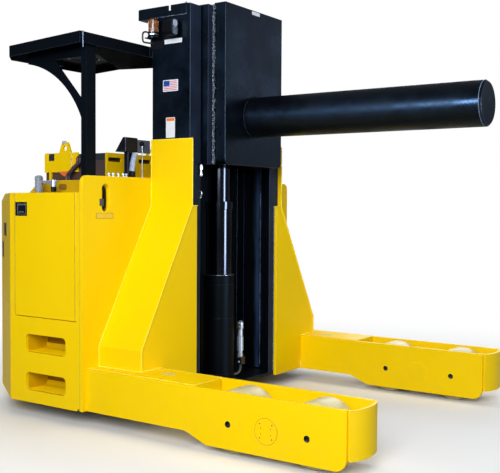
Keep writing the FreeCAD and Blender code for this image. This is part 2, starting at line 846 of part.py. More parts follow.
def bogie(side):
    middle = outrigger_middle_y
    near = wheel_width / 2 + bogie_clearance
    far = near + bogie_plate
    h, r = bogie_half_height, bogie_corner
    axles = (bogie_x - wheel_pitch / 2, bogie_x + wheel_pitch / 2)
    profile = [(axles[0] - h, axle_height - h, r), (axles[1] + h, axle_height - h, r),
               (axles[1] + h, axle_height + h, r), (axles[0] - h, axle_height + h, r)]
    shapes = [slab_xz(profile, (middle - far, middle - near)),
              slab_xz(profile, (middle + near, middle + far)),
              rod(bogie_hub_radius, (bogie_x, middle - far, axle_height),
                  (bogie_x, middle + far, axle_height)),
              rod(bogie_pin_radius, (bogie_x, outrigger_inner_y + outrigger_plate, axle_height),
                  (bogie_x, outrigger_outer_y - outrigger_plate, axle_height))]
    for x in axles:
        shapes.append(rod(axle_radius, (x, middle - far, axle_height), (x, middle + far, axle_height)))
    return to_side(join(*shapes), side)


def rounded_wheel(radius, width, bore, edge, x, y, z):
    half = width / 2
    profile = outline([(bore, -half), (radius, -half, edge), (radius, half, edge), (bore, half)],
                      lambda a, b: Vector(x, y + b, z + a))
    return profile.revolve(Vector(x, y, z), Vector(0, 1, 0), 360)


def load_wheel(side, x):
    return rounded_wheel(wheel_radius, wheel_width, axle_radius + running_fit, wheel_edge,
                         x, side * outrigger_middle_y, axle_height)


# ---------------------------------------------------------------- drive unit
def drive_yoke():
    near = drive_wheel_width / 2 + fork_clearance
    far = near + fork_plate
    half, foot = fork_half_length, fork_foot
    crown_top = crown_bottom + fork_plate
    crown = box((drive_x - half, drive_x + half), (-far, far), (crown_bottom, crown_top))
    ring = rod(turntable_radius, (drive_x, 0, crown_top), (drive_x, 0, yoke_top))
    legs = []
    for y in ((-far, -near), (near, far)):
        legs.append(slab_xz([
            (drive_x - foot, drive_wheel_radius - foot, foot - 10.0),
            (drive_x + foot, drive_wheel_radius - foot, foot - 10.0),
            (drive_x + half, crown_top), (drive_x - half, crown_top)], y))
    axle = rod(drive_axle_radius, (drive_x, -far, drive_wheel_radius), (drive_x, far, drive_wheel_radius))
    pin_top = yoke_top + turntable_gap - king_pin_gap
    king_pin = rod(king_pin_radius, (drive_x, 0, yoke_top), (drive_x, 0, pin_top))
    return join(crown, ring, *legs, axle, king_pin)


def drive_wheel():
    return rounded_wheel(drive_wheel_radius, drive_wheel_width, drive_axle_radius + running_fit,
                         drive_wheel_edge, drive_x, 0.0, drive_wheel_radius)


# ---------------------------------------------------------------- mast
def mast_rail(side):
    rail = slab_xy([
        (mast_rear, mast_half_width), (mast_front, mast_half_width), (mast_front, mast_inner),
        (mast_front - rail_flange, mast_inner), (mast_front - rail_flange, mast_web),
        (mast_rear + rail_flange, mast_web), (mast_rear + rail_flange, mast_inner), (mast_rear, mast_inner),
    ], (mast_bottom, mast_top))
    flange = box((mast_front - rail_flange, mast_front), (mast_inner, mast_half_width),
                 (mast_top - 1, flange_top))
    return to_side(join(rail, flange), side)


def mast_back_plate():
    """The plate behind the cylinder and the floor plate that it stands on."""
    back = box((mast_rear, mast_rear + back_plate), (-mast_inner, mast_inner), (mast_bottom, back_plate_top))
    z = (mast_bottom, mast_bottom + mast_floor)
    middle = box((mast_rear, mast_front), (-mast_inner, mast_inner), z)
    wide = box((mast_rear + rail_flange, mast_front - rail_flange), (-mast_web, mast_web), z)
    return join(back, middle, wide)


def mast_top_plate():
    outer, r = mast_half_width, top_plate_corner
    rear = mast_rear - top_plate_overhang
    arm_front = mast_rear + top_plate_arm
    top = mast_top + top_plate_thickness
    plate = slab_xy([
        (rear, -outer, r), (arm_front, -outer), (arm_front, -mast_inner), (mast_rear, -mast_inner),
        (mast_rear, mast_inner), (arm_front, mast_inner), (arm_front, outer), (rear, outer, r),
    ], (mast_top, top))
    notch_x = (mast_rear + top_notch_set_ahead, mast_rear + top_notch_set_ahead + top_notch_width)
    z = (mast_top + top_notch_floor, top + 1)
    recess_x = (notch_x[0] - top_notch_recess, notch_x[1])
    wall = outer - top_notch_wall
    for y, recess_y in (((-outer - 1, -mast_inner + 1), (-wall, -mast_inner + 1)),
                        ((mast_inner - 1, outer + 1), (mast_inner - 1, wall))):
        plate = cut(plate, box(notch_x, y, z), box(recess_x, recess_y, z))
    edge = top_plate_round
    side_view = [(rear, mast_top, edge), (arm_front, mast_top), (arm_front, top), (rear, top, edge)]
    return plate.common(slab_xz(side_view, (-outer, outer))).removeSplitter()


def mast_brace(side):
    edge = mast_half_width + brace_outer
    bare = mast_half_width
    t = brace_plate
    under_cover = cover_top - cover_plate
    band = slab_yz([
        (bare, brace_bend), (bare, brace_top), (edge, brace_top), (edge, brace_bend),
        (brace_foot_y, brace_foot), (brace_foot_y, under_cover), (brace_foot_y - t, under_cover),
        (brace_foot_y - t, brace_foot + t / 4),
    ], (mast_rear, brace_front + brace_band_proud))
    face = slab_yz([
        (brace_inner_y, outrigger_shallow_bottom), (outrigger_inner_y, outrigger_shallow_bottom),
        (outrigger_inner_y, under_cover), (brace_foot_y - t, under_cover),
        (brace_foot_y - t, brace_foot + t / 4), (bare, brace_bend), (brace_inner_y, brace_bend),
    ], (mast_front, brace_front))
    shape = cut(join(band, face), box((brace_front, brace_front + brace_band_proud + 1),
                                      (brace_foot_y - t - 1, brace_foot_y + 1), (under_cover - 1, cover_top)))
    return to_side(shape, side)


# ---------------------------------------------------------------- carriage, ram and cylinder
def carriage_plate():
    w, r = carriage_half_width, carriage_corner
    return slab_yz([(-w, carriage_bottom, r), (w, carriage_bottom, r), (w, carriage_top), (-w, carriage_top)],
                   (carriage_back, carriage_front))


def carriage_side_bars():
    inner = carriage_bar_outer - carriage_bar_width
    rear = mast_rear + carriage_bar_clearance
    top = carriage_top - carriage_bar_drop
    tie_half = carriage_half_width - carriage_tie_inset
    bars = [box((rear, carriage_back), y, (carriage_bottom, top))
            for y in ((-carriage_bar_outer, -inner), (inner, carriage_bar_outer))]
    tie = box((carriage_back - carriage_tie_depth, carriage_back), (-tie_half, tie_half),
              (carriage_bottom + carriage_bar_drop, top))
    foot = box((cylinder_x - carriage_foot_reach, mast_front), (-inner, inner),
               (rod_foot, rod_foot + rod_foot_thickness))
    return join(tie, foot, *bars)


def carriage_rollers():
    rollers = []
    x = (mast_rear + mast_front) / 2
    for side in (-1, 1):
        for z in (carriage_bottom + roller_low_inset, carriage_top - roller_high_inset):
            rollers.append(rod(roller_radius, (x, side * carriage_bar_outer, z),
                               (x, side * (carriage_bar_outer + roller_width), z)))
    return Part.makeCompound(rollers)


def coil_ram():
    tip = carriage_front + ram_length
    c = ram_chamfer
    corners = [(carriage_front, 0.0), (carriage_front, ram_radius), (tip - c, ram_radius),
               (tip, ram_radius - c), (tip, 0.0)]
    profile = outline(corners, lambda a, b: Vector(a, 0, ram_height + b))
    return profile.revolve(Vector(0, 0, ram_height), Vector(1, 0, 0), 360)


def on_cylinder(z):
    return (cylinder_x, 0, z)


def lift_cylinder_barrel():
    floor = mast_bottom + mast_floor
    wall = tube(barrel_radius, barrel_wall, on_cylinder(floor + barrel_foot), on_cylinder(barrel_top))
    foot = rod(barrel_radius, on_cylinder(floor), on_cylinder(floor + barrel_foot))
    return join(wall, foot)


def telescopic_stage(radius, wall, bottom, top):
    collar_radius = radius + collar_rim
    barrel = tube(radius, wall, on_cylinder(bottom), on_cylinder(top))
    collar = tube(collar_radius, collar_rim + wall, on_cylinder(top - collar_height), on_cylinder(top))
    return join(barrel, collar)


def cylinder_stage_1():
    return telescopic_stage(stage_1_radius, stage_1_wall, barrel_top - stage_overlap, stage_1_top)


def cylinder_stage_2():
    return telescopic_stage(stage_2_radius, stage_2_wall, stage_1_top - stage_overlap, stage_2_top)


def lift_rod():
    return rod(rod_radius, on_cylinder(stage_2_top - stage_overlap), on_cylinder(rod_foot))


# ---------------------------------------------------------------- overhead guard
def guard_height(x):
    """Height of the roof's top face, which falls towards the rear."""
    slope = (guard_top_front - guard_top_rear) / guard_length
    return guard_top_rear + slope * (x - guard_rear)


def guard_outline(inset):
    outer = -guard_outer_y + inset
    inner = -guard_inner_y - inset
    return [
        (guard_front - inset, outer), (guard_rear + guard_corner, outer),
        (guard_rear + inset, -guard_outer_y + guard_corner), (guard_rear + inset, inner),
        (guard_rear + guard_square_length, inner), (guard_front - inset, inner + guard_diagonal),
    ]


def under_slope(depth):
    """Everything lower than a plane parallel to the roof, this far below its top face."""
    a, b = guard_rear - 1, guard_front + 1
    low = deck_height - 1
    return slab_xz([(a, low), (b, low), (b, guard_height(b) - depth), (a, guard_height(a) - depth)],
                   (-guard_outer_y - 1, guard_outer_y))


def overhead_guard():
    z = (guard_top_rear - 2 * guard_skirt, guard_top_front)
    block = slab_xy(guard_outline(0), z).common(under_slope(0))
    hollow = slab_xy(guard_outline(guard_sheet), z).common(under_slope(guard_roof))
    shell = cut(block, under_slope(guard_skirt), hollow)
    slots = []
    inner_edge = -guard_inner_y - guard_slot_margin
    for i in range(guard_slot_rows):
        for j in range(guard_slots_in_row):
            x = guard_front - guard_slot_front - guard_slot_pitch_x * j
            y = -guard_outer_y + guard_slot_side + guard_slot_pitch_y * i
            if y + guard_slot_length / 2 < inner_edge:
                slots.append(box((x - guard_slot_width / 2, x + guard_slot_width / 2),
                                 (y - guard_slot_length / 2, y + guard_slot_length / 2), z))
    shell = cut(shell, *slots)
    bracket = box((guard_front, mast_rear), (-mast_half_width, -mast_half_width + guard_bracket_width),
                  (guard_top_front - guard_skirt, guard_top_front - guard_bracket_drop))
    return join(shell, bracket, guard_box())


def guard_post():
    y = (-post_outer_y, -post_outer_y + post_width)
    tall = box((post_rear, post_front), y, (deck_height, guard_top_front)).common(under_slope(guard_roof))
    w = post_wall
    core = box((post_rear + w, post_front - w), (y[0] + w, y[1] - w), (deck_height - 1, guard_top_front))
    return join(cut(tall, core), post_brace())


def post_brace():
    """The gusset that carries the guard from the post: a curved lower edge and a three-cornered window."""
    y = -post_middle_y - post_brace_thickness / 2
    rear = post_rear - post_brace_length
    under_roof = guard_roof + post_brace_gap
    tail = Vector(rear, y, guard_height(rear) - under_roof)
    tail_low = Vector(rear, y, post_brace_rear_low)
    foot = Vector(post_rear - post_brace_foot, y, post_brace_low)
    below = Vector(post_rear, y, post_brace_low - post_brace_foot / 2)
    roof = Vector(post_rear, y, guard_height(post_rear) - under_roof)
    bow = (foot - tail_low).cross(Vector(0, 1, 0)).normalize() * post_brace_bow
    arc = Part.Arc(tail_low, (tail_low + foot) / 2 + bow, foot)
    wire = Part.Wire([Part.LineSegment(tail, tail_low).toShape(), arc.toShape(),
                      Part.LineSegment(foot, below).toShape(), Part.LineSegment(below, roof).toShape(),
                      Part.LineSegment(roof, tail).toShape()])
    plate = Part.Face(wire).extrude(Vector(0, post_brace_thickness, 0))
    right = post_rear - post_window_set
    low = post_window_top - post_window_height
    c = post_window_corner
    window = slab_xz([(right, low, c), (right, post_window_top, c),
                      (right - post_window_length, post_window_top, c)],
                     (y - 1, y + post_brace_thickness + 1))
    return cut(plate, window)


def guard_box():
    x = bulkhead_x - guard_box_set_back
    y = (-guard_box_y - guard_box_width, -guard_box_y)
    tall = box((x - guard_box_length, x), y, (guard_box_bottom, guard_top_front))
    return tall.common(under_slope(guard_sheet))


# ---------------------------------------------------------------- controls and leaning post
def control_console():
    y = (-console_y - console_width / 2, -console_y + console_width / 2)
    rear = bulkhead_rear - column_set - column_depth
    column = box((rear, rear + column_depth), (y[1] - column_width, y[1]), (shelf_top, head_bottom))
    front = bulkhead_rear - head_set
    r = head_corner
    head = slab_xz([(front - head_length, head_bottom), (front, head_bottom, r), (front, head_top, r),
                    (front - head_top_length, head_top, r)], y)
    shelf = box((bulkhead_rear - shelf_depth, bulkhead_rear), (-shelf_outer_y, -shelf_inner_y),
                (partition_top, shelf_top))
    return join(shelf, column, head)


def control_levers():
    x = bulkhead_rear - grip_set
    grip_foot = (x, -grip_y - grip_lean / 2, grip_bottom)
    grip_end = (x, -grip_y + grip_lean / 2, grip_top)
    stem = rod(grip_stem_radius, (x, -grip_y - grip_lean / 2, shelf_top), grip_foot)
    grip = rod(grip_radius, grip_foot, grip_end)
    lever_x = bulkhead_rear - lever_set
    lever = rod(lever_rod_radius, (lever_x, -lever_y, shelf_top), (lever_x, -lever_y, lever_top))
    ball = Part.makeSphere(lever_ball_radius, Vector(lever_x, -lever_y, lever_top))
    shapes = [join(stem, grip), join(lever, ball)]
    for y in switch_places:
        shapes.append(rod(switch_radius, (x, -y, shelf_top), (x, -y, shelf_top + switch_height)))
    return Part.makeCompound(shapes)


def control_screen():
    x = bulkhead_rear - screen_set
    y = (-screen_y - screen_half_width, -screen_y + screen_half_width)
    plate = box((x - screen_thickness, x), y, (screen_low, screen_high))
    stalk = box((x - screen_thickness, x), (-screen_y + screen_stalk, -screen_y + 2 * screen_stalk),
                (shelf_top, screen_low))
    return join(plate, stalk)


def leaning_rest():
    x, h, r = bulkhead_x - rest_set_back, rest_size / 2, rest_corner
    return slab_xz([(x - h, rest_low, r), (x + h, rest_low, r), (x + h, rest_top, r), (x - h, rest_top, r)],
                   (-rest_y - h, -rest_y + h))


def rest_post():
    x = bulkhead_x - rest_set_back
    post = rod(rest_post_radius, (x, -rest_y, deck_height), (x, -rest_y, rest_low))
    arm_start = x + rest_size / 2
    hub_x = arm_start + handle_reach - rest_size / 2
    t = handle_thickness / 2
    arm = slab_xz([(arm_start, handle_height - t / 2), (hub_x, handle_height - 3 * t),
                   (hub_x + handle_wing, handle_height + t), (hub_x, handle_height + 2 * t),
                   (arm_start, handle_height + t)], (-rest_y - t, -rest_y + t))
    hub = rod(handle_hub_radius, (hub_x, -rest_y, handle_hub_low), (hub_x, -rest_y, handle_hub_top))
    knob = rod(knob_radius, (hub_x, -rest_y, knob_low), (hub_x, -rest_y, handle_hub_low))
    return Part.makeCompound([post, join(arm, hub, knob)])


# ---------------------------------------------------------------- lamps on the mast
def beacon():
    x = bulkhead_x + beacon_set_ahead
    shelf_z = beacon_shelf_bottom + beacon_shelf_thickness
    base = rod(beacon_base_radius, (x, -lamp_y, shelf_z), (x, -lamp_y, shelf_z + beacon_base_height))
    dome_z = shelf_z + beacon_base_height
    dome = rod(beacon_dome_radius, (x, -lamp_y, dome_z), (x, -lamp_y, dome_z + beacon_dome_height))
    return join(base, dome)


def beacon_bracket():
    x = bulkhead_x + beacon_set_ahead
    t, half = beacon_shelf_thickness, beacon_shelf_half
    shelf = box((x - half, x + half), (-lamp_y - half, -mast_half_width),
                (beacon_shelf_bottom, beacon_shelf_bottom + t))
    plate_rear = bulkhead_x - bracket_set_back
    plate = box((plate_rear, plate_rear + bracket_length), (-mast_half_width - t, -mast_half_width),
                (bracket_bottom, beacon_shelf_bottom + t))
    return join(shelf, plate, beacon_lead())


def beacon_lead():
    """The lamp's lead: out beside its base, round below the shelf and in to the bracket."""
    x = bulkhead_x + beacon_set_ahead
    plate_y = -mast_half_width - beacon_shelf_thickness
    far = x - beacon_base_radius - wire_reach
    plate_rear = bulkhead_x - bracket_set_back
    points = [Vector(x - beacon_base_radius, -lamp_y, wire_top), Vector(far, -lamp_y, wire_top),
              Vector(far, -lamp_y, wire_bottom), Vector(plate_rear + wire_reach, -lamp_y, wire_bottom),
              Vector(plate_rear + wire_reach, plate_y, wire_bottom)]
    r = wire_reach / 2 - wire_radius
    return bent_tube(wire_radius, points, (r, r, r))


def work_light():
    x = bulkhead_x + work_light_set_ahead
    w, h = work_light_lens_width / 2, work_light_lens_height / 2
    z, k = work_light_height, work_light_taper

    def ring(at, scale):
        corners = [(-lamp_y - w * scale, z - h * scale), (-lamp_y + w * scale, z - h * scale),
                   (-lamp_y + w * scale, z + h * scale), (-lamp_y - w * scale, z + h * scale)]
        rounded = [(a, b, (w - 1) * scale) for a, b in corners]
        return outline(rounded, lambda a, b: Vector(at, a, b)).OuterWire

    body = Part.makeLoft([ring(x - work_light_depth, k), ring(x, 1.0)], True)
    stem_x = x - work_light_depth / 2
    stem = box((stem_x - work_light_stem / 2, stem_x + work_light_stem / 2), (-lamp_y, -mast_half_width),
               (z - work_light_stem / 2, z + work_light_stem / 2))
    return join(body, stem)


# ---------------------------------------------------------------- assembly
def build():
    add("chassis_frame", chassis_frame())
    add("rear_counterweight", rear_counterweight())
    add("rear_cover", rear_cover())
    add("front_bulkhead", front_bulkhead())
    add("step_pockets", step_pockets())
    add("operator_deck", operator_deck())
    add("battery_partition", battery_partition())
    add("battery_floor", battery_floor())
    add("battery_case", battery_case())
    add("battery_lid", battery_lid())
    add("battery_frame", battery_frame())
    add("battery_cables", battery_cables())
    add("inner_cover", inner_cover())
    add("entry_door", entry_door())
    add("door_latch", door_latch())
    add("drive_yoke", drive_yoke())
    add("drive_wheel", drive_wheel())
    for name, side in SIDES:
        add(name + "_side_panel", side_panel(side))
        add(name + "_outrigger", outrigger(side))
        add(name + "_bogie", bogie(side))
        add(name + "_mast_rail", mast_rail(side))
        add(name + "_mast_brace", mast_brace(side))
        add(name + "_front_load_wheel", load_wheel(side, bogie_x + wheel_pitch / 2))
        add(name + "_rear_load_wheel", load_wheel(side, bogie_x - wheel_pitch / 2))
    add("mast_back_plate", mast_back_plate())
    add("mast_top_plate", mast_top_plate())
    add("carriage_plate", carriage_plate())
    add("carriage_side_bars", carriage_side_bars())
    add("carriage_rollers", carriage_rollers())
    add("coil_ram", coil_ram())
    add("lift_cylinder_barrel", lift_cylinder_barrel())
    add("cylinder_stage_1", cylinder_stage_1())
    add("cylinder_stage_2", cylinder_stage_2())
    add("lift_rod", lift_rod())
    add("overhead_guard", overhead_guard())
    add("guard_post", guard_post())
    add("control_console", control_console())
    add("control_levers", control_levers())
    add("control_screen", control_screen())
    add("leaning_rest", leaning_rest())
    add("rest_post", rest_post())
    add("beacon", beacon())
    add("beacon_bracket", beacon_bracket())
    add("work_light", work_light())


build()
os.makedirs("parts", exist_ok=True)
for name, shape in pieces.items():
    shape.exportStep("parts/" + name + ".step")
    print(name, len(shape.Solids), shape.isValid(), round(shape.Volume / 1e9, 5))
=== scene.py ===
# %% [markdown]
# # A ride-on truck that carries steel coils
# The truck is a welded steel machine: a yellow body and outriggers, a black mast, and one round
# ram that goes through the eye of a coil. The CAD model already fixes every place and every size.
# This lesson gives that model its looks: soft edges, paint, chrome, weld beads, small fittings and
# one padded rest. Each step is a short cell, and each new piece is tied to the body it moves with.

# %% Load the fixed frame
import json
import math

import bmesh
import bpy
from mathutils import Matrix, Vector


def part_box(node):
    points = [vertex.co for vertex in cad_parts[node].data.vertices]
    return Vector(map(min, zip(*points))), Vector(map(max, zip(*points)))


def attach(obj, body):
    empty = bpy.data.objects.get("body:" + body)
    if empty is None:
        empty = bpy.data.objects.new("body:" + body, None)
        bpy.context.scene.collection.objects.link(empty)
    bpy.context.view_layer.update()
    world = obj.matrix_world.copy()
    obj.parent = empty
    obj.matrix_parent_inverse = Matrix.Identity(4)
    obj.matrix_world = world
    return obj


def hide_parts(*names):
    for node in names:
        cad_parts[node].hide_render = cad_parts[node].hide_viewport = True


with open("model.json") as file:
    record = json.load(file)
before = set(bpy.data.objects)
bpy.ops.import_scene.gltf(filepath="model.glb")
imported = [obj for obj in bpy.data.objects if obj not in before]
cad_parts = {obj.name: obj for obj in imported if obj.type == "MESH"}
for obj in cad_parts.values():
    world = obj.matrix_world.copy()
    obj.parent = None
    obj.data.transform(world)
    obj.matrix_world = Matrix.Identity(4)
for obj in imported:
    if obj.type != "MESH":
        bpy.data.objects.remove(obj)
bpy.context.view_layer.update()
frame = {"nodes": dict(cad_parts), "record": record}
body_of_node = {}
for body_name, members in frame["record"]["behaviour"]["bodies"].items():
    for member in members:
        body_of_node[member] = body_name

# %% [markdown]
# ## The viewpoint
# A person's view of the truck: standing off its right front corner, the eye at half its height, with
# a lens long enough to keep the mast from leaning. The camera is built from two directions, where
# it looks and what is to its right, because a matrix made of them can't roll by mistake.

# %% Camera
to_the_right = Vector((0.82525, 0.56473, 0.0060)).normalized()
ahead = Vector((-0.56418, 0.82483, -0.03681))
ahead = (ahead - to_the_right * ahead.dot(to_the_right)).normalized()
up = to_the_right.cross(ahead)
camera = bpy.data.objects.new("camera", bpy.data.cameras.new("camera"))
camera.data.lens = 61.4
camera.data.sensor_width = 36.0
camera.data.clip_end = 200.0
turn = Matrix((to_the_right, up, -ahead)).transposed().to_4x4()
camera.matrix_world = Matrix.Translation((3.635, -5.449, 1.531)) @ turn
bpy.context.scene.collection.objects.link(camera)
bpy.context.scene.camera = camera
print("camera at", [round(v, 3) for v in camera.location], "lens", camera.data.lens)

# %% [markdown]
# ## A bright studio
# The truck stands on a pale floor under large soft lamps. One broad lamp on its right side lights
# the flanks, a weaker one ahead leaves the front faces a shade deeper, and one overhead draws the
# tops. Two more fill the left side and the tail, and three are only mirrored: they draw the bright
# lines down the chrome and along the ram. The floor fades to plain white away from the truck, so no
# horizon line shows behind it.

# %% Tools for building node trees
MIX_SHARE, MIX_FIRST, MIX_SECOND, MIX_COLOR = 0, 6, 7, 2  # where a Mix node keeps its colour sockets


def feed(tree, socket, value):
    """Links a socket to the one that its value comes from, or sets the value on it."""
    if isinstance(value, bpy.types.NodeSocket):
        tree.links.new(value, socket)
    else:
        socket.default_value = value


def add_node(tree, kind, settings=None, **inputs):
    """A node of that kind. settings are its own properties, inputs its sockets by name."""
    node = tree.nodes.new(kind)
    for name, value in (settings or {}).items():
        setattr(node, name, value)
    for name, value in inputs.items():
        feed(tree, node.inputs[name.replace("_", " ")], value)
    return node


def in_order(tree, kind, settings, *values):
    """The first output of a node whose sockets take the values from the top down."""
    node = add_node(tree, kind, settings)
    for socket, value in zip(node.inputs, values):
        feed(tree, socket, value)
    return node.outputs[0]


def calculate(tree, operation, *values):
    """The result of one Math node."""
    return in_order(tree, "ShaderNodeMath", {"operation": operation}, *values)


def mix_colors(tree, share, first, second):
    """A colour between two others, by a share from 0 to 1."""
    node = add_node(tree, "ShaderNodeMix", {"data_type": "RGBA"})
    for place, value in ((MIX_SHARE, share), (MIX_FIRST, first), (MIX_SECOND, second)):
        feed(tree, node.inputs[place], value)
    return node.outputs[MIX_COLOR]


def new_material(name):
    """A material with an empty node tree, and that tree."""
    made = bpy.data.materials.new(name)
    made.use_nodes = True
    made.node_tree.nodes.clear()
    return made, made.node_tree


def linear(red, green, blue):
    """A colour as a painter names it, 0 to 255 a channel, in the linear light Blender mixes."""
    def channel(v):
        v = v / 255
        return v / 12.92 if v <= 0.04045 else ((v + 0.055) / 1.055) ** 2.4
    return (channel(red), channel(green), channel(blue), 1.0)


print("a grey of 128 is", round(linear(128, 128, 128)[0], 3), "in linear light")


# %% White surroundings
glossy_share = 0.06  # how much of the white the truck's gloss may mirror
pure_white = (1.0, 1.0, 1.0, 1.0)


def white_shares(tree):
    """Two outputs: 1 for a ray from the eye or through glass, and that plus a share for gloss."""
    ray = add_node(tree, "ShaderNodeLightPath")
    direct = calculate(tree, "MAXIMUM", ray.outputs["Is Camera Ray"], ray.outputs["Is Transmission Ray"])
    return direct, calculate(tree, "MULTIPLY_ADD", ray.outputs["Is Glossy Ray"], glossy_share, direct)


bpy.context.scene.view_settings.view_transform = "Standard"
world = bpy.data.worlds.new("studio")
bpy.context.scene.world = world
world.use_nodes = True
sky = world.node_tree
sky.nodes.clear()
direct, mirrored = white_shares(sky)
clamped = add_node(sky, "ShaderNodeClamp", Value=mirrored)
room = add_node(sky, "ShaderNodeBackground", Color=(0.80, 0.88, 1.0, 1.0), Strength=0.18)
white = add_node(sky, "ShaderNodeBackground", Color=pure_white, Strength=1.0)
both = in_order(sky, "ShaderNodeMixShader", None, clamped.outputs[0], room.outputs[0], white.outputs[0])
add_node(sky, "ShaderNodeOutputWorld", Surface=both)
print("world built")

# %% Pale floor
floor_mesh = bpy.data.meshes.new("floor")
floor_mesh.from_pydata([(-60, -60, 0), (60, -60, 0), (60, 60, 0), (-60, 60, 0)], [], [(0, 1, 2, 3)])
floor = bpy.data.objects.new("floor", floor_mesh)
bpy.context.scene.collection.objects.link(floor)
floor_paint, tree = new_material("floor_paint")
place = add_node(tree, "ShaderNodeTexCoord")
away = add_node(tree, "ShaderNodeVectorMath", {"operation": "LENGTH"}, Vector=place.outputs["Object"])
fade = add_node(tree, "ShaderNodeMapRange", {"interpolation_type": "SMOOTHSTEP"}, Value=away.outputs["Value"],
                From_Min=2.2, From_Max=5.5)
direct, mirrored = white_shares(tree)
paint = mix_colors(tree, direct, (0.42, 0.42, 0.42, 1.0), (0.92, 0.92, 0.92, 1.0))
matt = add_node(tree, "ShaderNodeBsdfDiffuse", Color=paint)
plain = add_node(tree, "ShaderNodeEmission", Color=pure_white, Strength=1.0)
faded = calculate(tree, "MULTIPLY", fade.outputs["Result"], mirrored)
mixed = in_order(tree, "ShaderNodeMixShader", None, faded, matt.outputs[0], plain.outputs[0])
add_node(tree, "ShaderNodeOutputMaterial", Surface=mixed)
floor_mesh.materials.append(floor_paint)
print("floor built")


# %% Lamps
def soft_lamp(name, where, at, size, watts, tint=(1.0, 1.0, 1.0), lights="all"):
    """An area lamp facing a point. One for "matt" isn't mirrored, and one for "gloss" is only mirrored."""
    lamp = bpy.data.lights.new(name, "AREA")
    lamp.shape = "RECTANGLE"
    lamp.size, lamp.size_y = size
    lamp.energy = watts
    lamp.color = tint
    holder = bpy.data.objects.new(name, lamp)
    holder.location = where
    aim = Vector(at) - Vector(where)
    holder.rotation_mode = "QUATERNION"
    holder.rotation_quaternion = aim.to_track_quat("-Z", "Y")
    holder.visible_camera = False
    holder.visible_diffuse = lights != "gloss"
    holder.visible_glossy = lights != "matt"
    bpy.context.scene.collection.objects.link(holder)
    print("lamp", name, watts, "W")


soft_lamp("side_lamp", (3.9, -7.6, 4.2), (-0.2, -0.8, 1.1), (4.5, 4.5), 700.0)
soft_lamp("window_lamp", (9.0, 7.6, 3.2), (0.0, 0.0, 1.6), (5.0, 5.0), 216.0,
          tint=(0.86, 0.93, 1.0), lights="matt")
soft_lamp("sheen_lamp", (7.4, 9.2, 4.3), (-0.2, 0.0, 2.5), (6.0, 2.6), 52.0,
          tint=(0.45, 0.63, 1.0), lights="gloss")
soft_lamp("strip_lamp", (9.0, 0.3, 1.9), (0.0, 0.0, 1.5), (2.4, 3.4), 800.0,
          tint=(0.84, 0.92, 1.0), lights="gloss")
soft_lamp("flank_lamp", (-0.8, -7.7, 3.0), (1.4, -0.15, 2.2), (1.8, 1.5), 700.0,
          tint=(0.5, 0.68, 1.0), lights="gloss")
soft_lamp("top_lamp", (0.0, 0.0, 9.0), (0.0, 0.0, 0.0), (7.0, 5.0), 260.0, lights="matt")
soft_lamp("left_lamp", (-1.5, 9.0, 4.0), (0.0, 0.8, 1.0), (5.0, 4.5), 240.0)
soft_lamp("rear_lamp", (-8.0, 5.4, 4.6), (-1.0, 0.0, 1.2), (5.0, 4.0), 260.0)

# %% [markdown]
# ## Effects that several finishes share
# Real enamel is never one flat colour: it lies thinner at a corner, it is a little uneven over a big
# plate, and its skin is slightly wavy, like orange peel. The lighter edges are also a painted highlight,
# the thin line of light an edge catches. Each effect is a shader node group with named sockets, built
# once and placed in each finish with that finish's own values.

# %% Group: cloudy tone
def new_group(name, inputs, outputs, kind="ShaderNodeTree"):
    """An empty node group and its end nodes. Sockets are (name, type, value) in and (name, type) out."""
    group = bpy.data.node_groups.new(name, kind)
    for title, socket, value in inputs:
        made = group.interface.new_socket(title, in_out="INPUT", socket_type="NodeSocket" + socket)
        if value is not None:
            made.default_value = value
    for title, socket in outputs:
        group.interface.new_socket(title, in_out="OUTPUT", socket_type="NodeSocket" + socket)
    return group, group.nodes.new("NodeGroupInput"), group.nodes.new("NodeGroupOutput")


grey = (0.5, 0.5, 0.5, 1.0)
clouds, c_in, c_out = new_group("cloudy_tone", [
    ("Color", "Color", grey), ("Scale", "Float", 1.5), ("Amount", "Float", 0.1),
    ("Vector", "Vector", None)], [("Color", "Color")])
broad = add_node(clouds, "ShaderNodeTexNoise", Vector=c_in.outputs["Vector"],
                 Scale=c_in.outputs["Scale"], Detail=5.0, Roughness=0.6)
spread = add_node(clouds, "ShaderNodeMapRange", Value=broad.outputs[0], From_Min=0.3, From_Max=0.7, To_Min=-1.0)
swing = calculate(clouds, "MULTIPLY_ADD", spread.outputs[0], c_in.outputs["Amount"], 1.0)
toned = add_node(clouds, "ShaderNodeVectorMath", {"operation": "SCALE"}, Vector=c_in.outputs["Color"], Scale=swing)
feed(clouds, c_out.inputs["Color"], toned.outputs[0])
print("group", clouds.name)

# %% Group: worn and lit edges
# Lighter edge faces: partly paint worn thin at a corner, partly a painted highlight, the fine line of light an
# edge catches.
edges, e_in, e_out = new_group("worn_and_lit_edges", [
    ("Color", "Color", grey), ("Edge Color", "Color", (0.8, 0.8, 0.8, 1.0)), ("Amount", "Float", 0.5),
    ("Scale", "Float", 30.0), ("Vector", "Vector", None)], [("Color", "Color")])
rim = add_node(edges, "ShaderNodeAttribute", {"attribute_name": "edge"})
patchy = add_node(edges, "ShaderNodeTexNoise", Vector=e_in.outputs["Vector"],
                  Scale=e_in.outputs["Scale"], Detail=4.0)
gate = add_node(edges, "ShaderNodeMapRange", Value=patchy.outputs[0], From_Min=0.35, From_Max=0.6, To_Min=0.45)
part_of = calculate(edges, "MULTIPLY", rim.outputs["Fac"], gate.outputs[0])
masked = calculate(edges, "MULTIPLY", part_of, e_in.outputs["Amount"])
edge_worn_and_lit = mix_colors(edges, masked, e_in.outputs["Color"], e_in.outputs["Edge Color"])
feed(edges, e_out.inputs["Color"], edge_worn_and_lit)
print("group", edges.name)

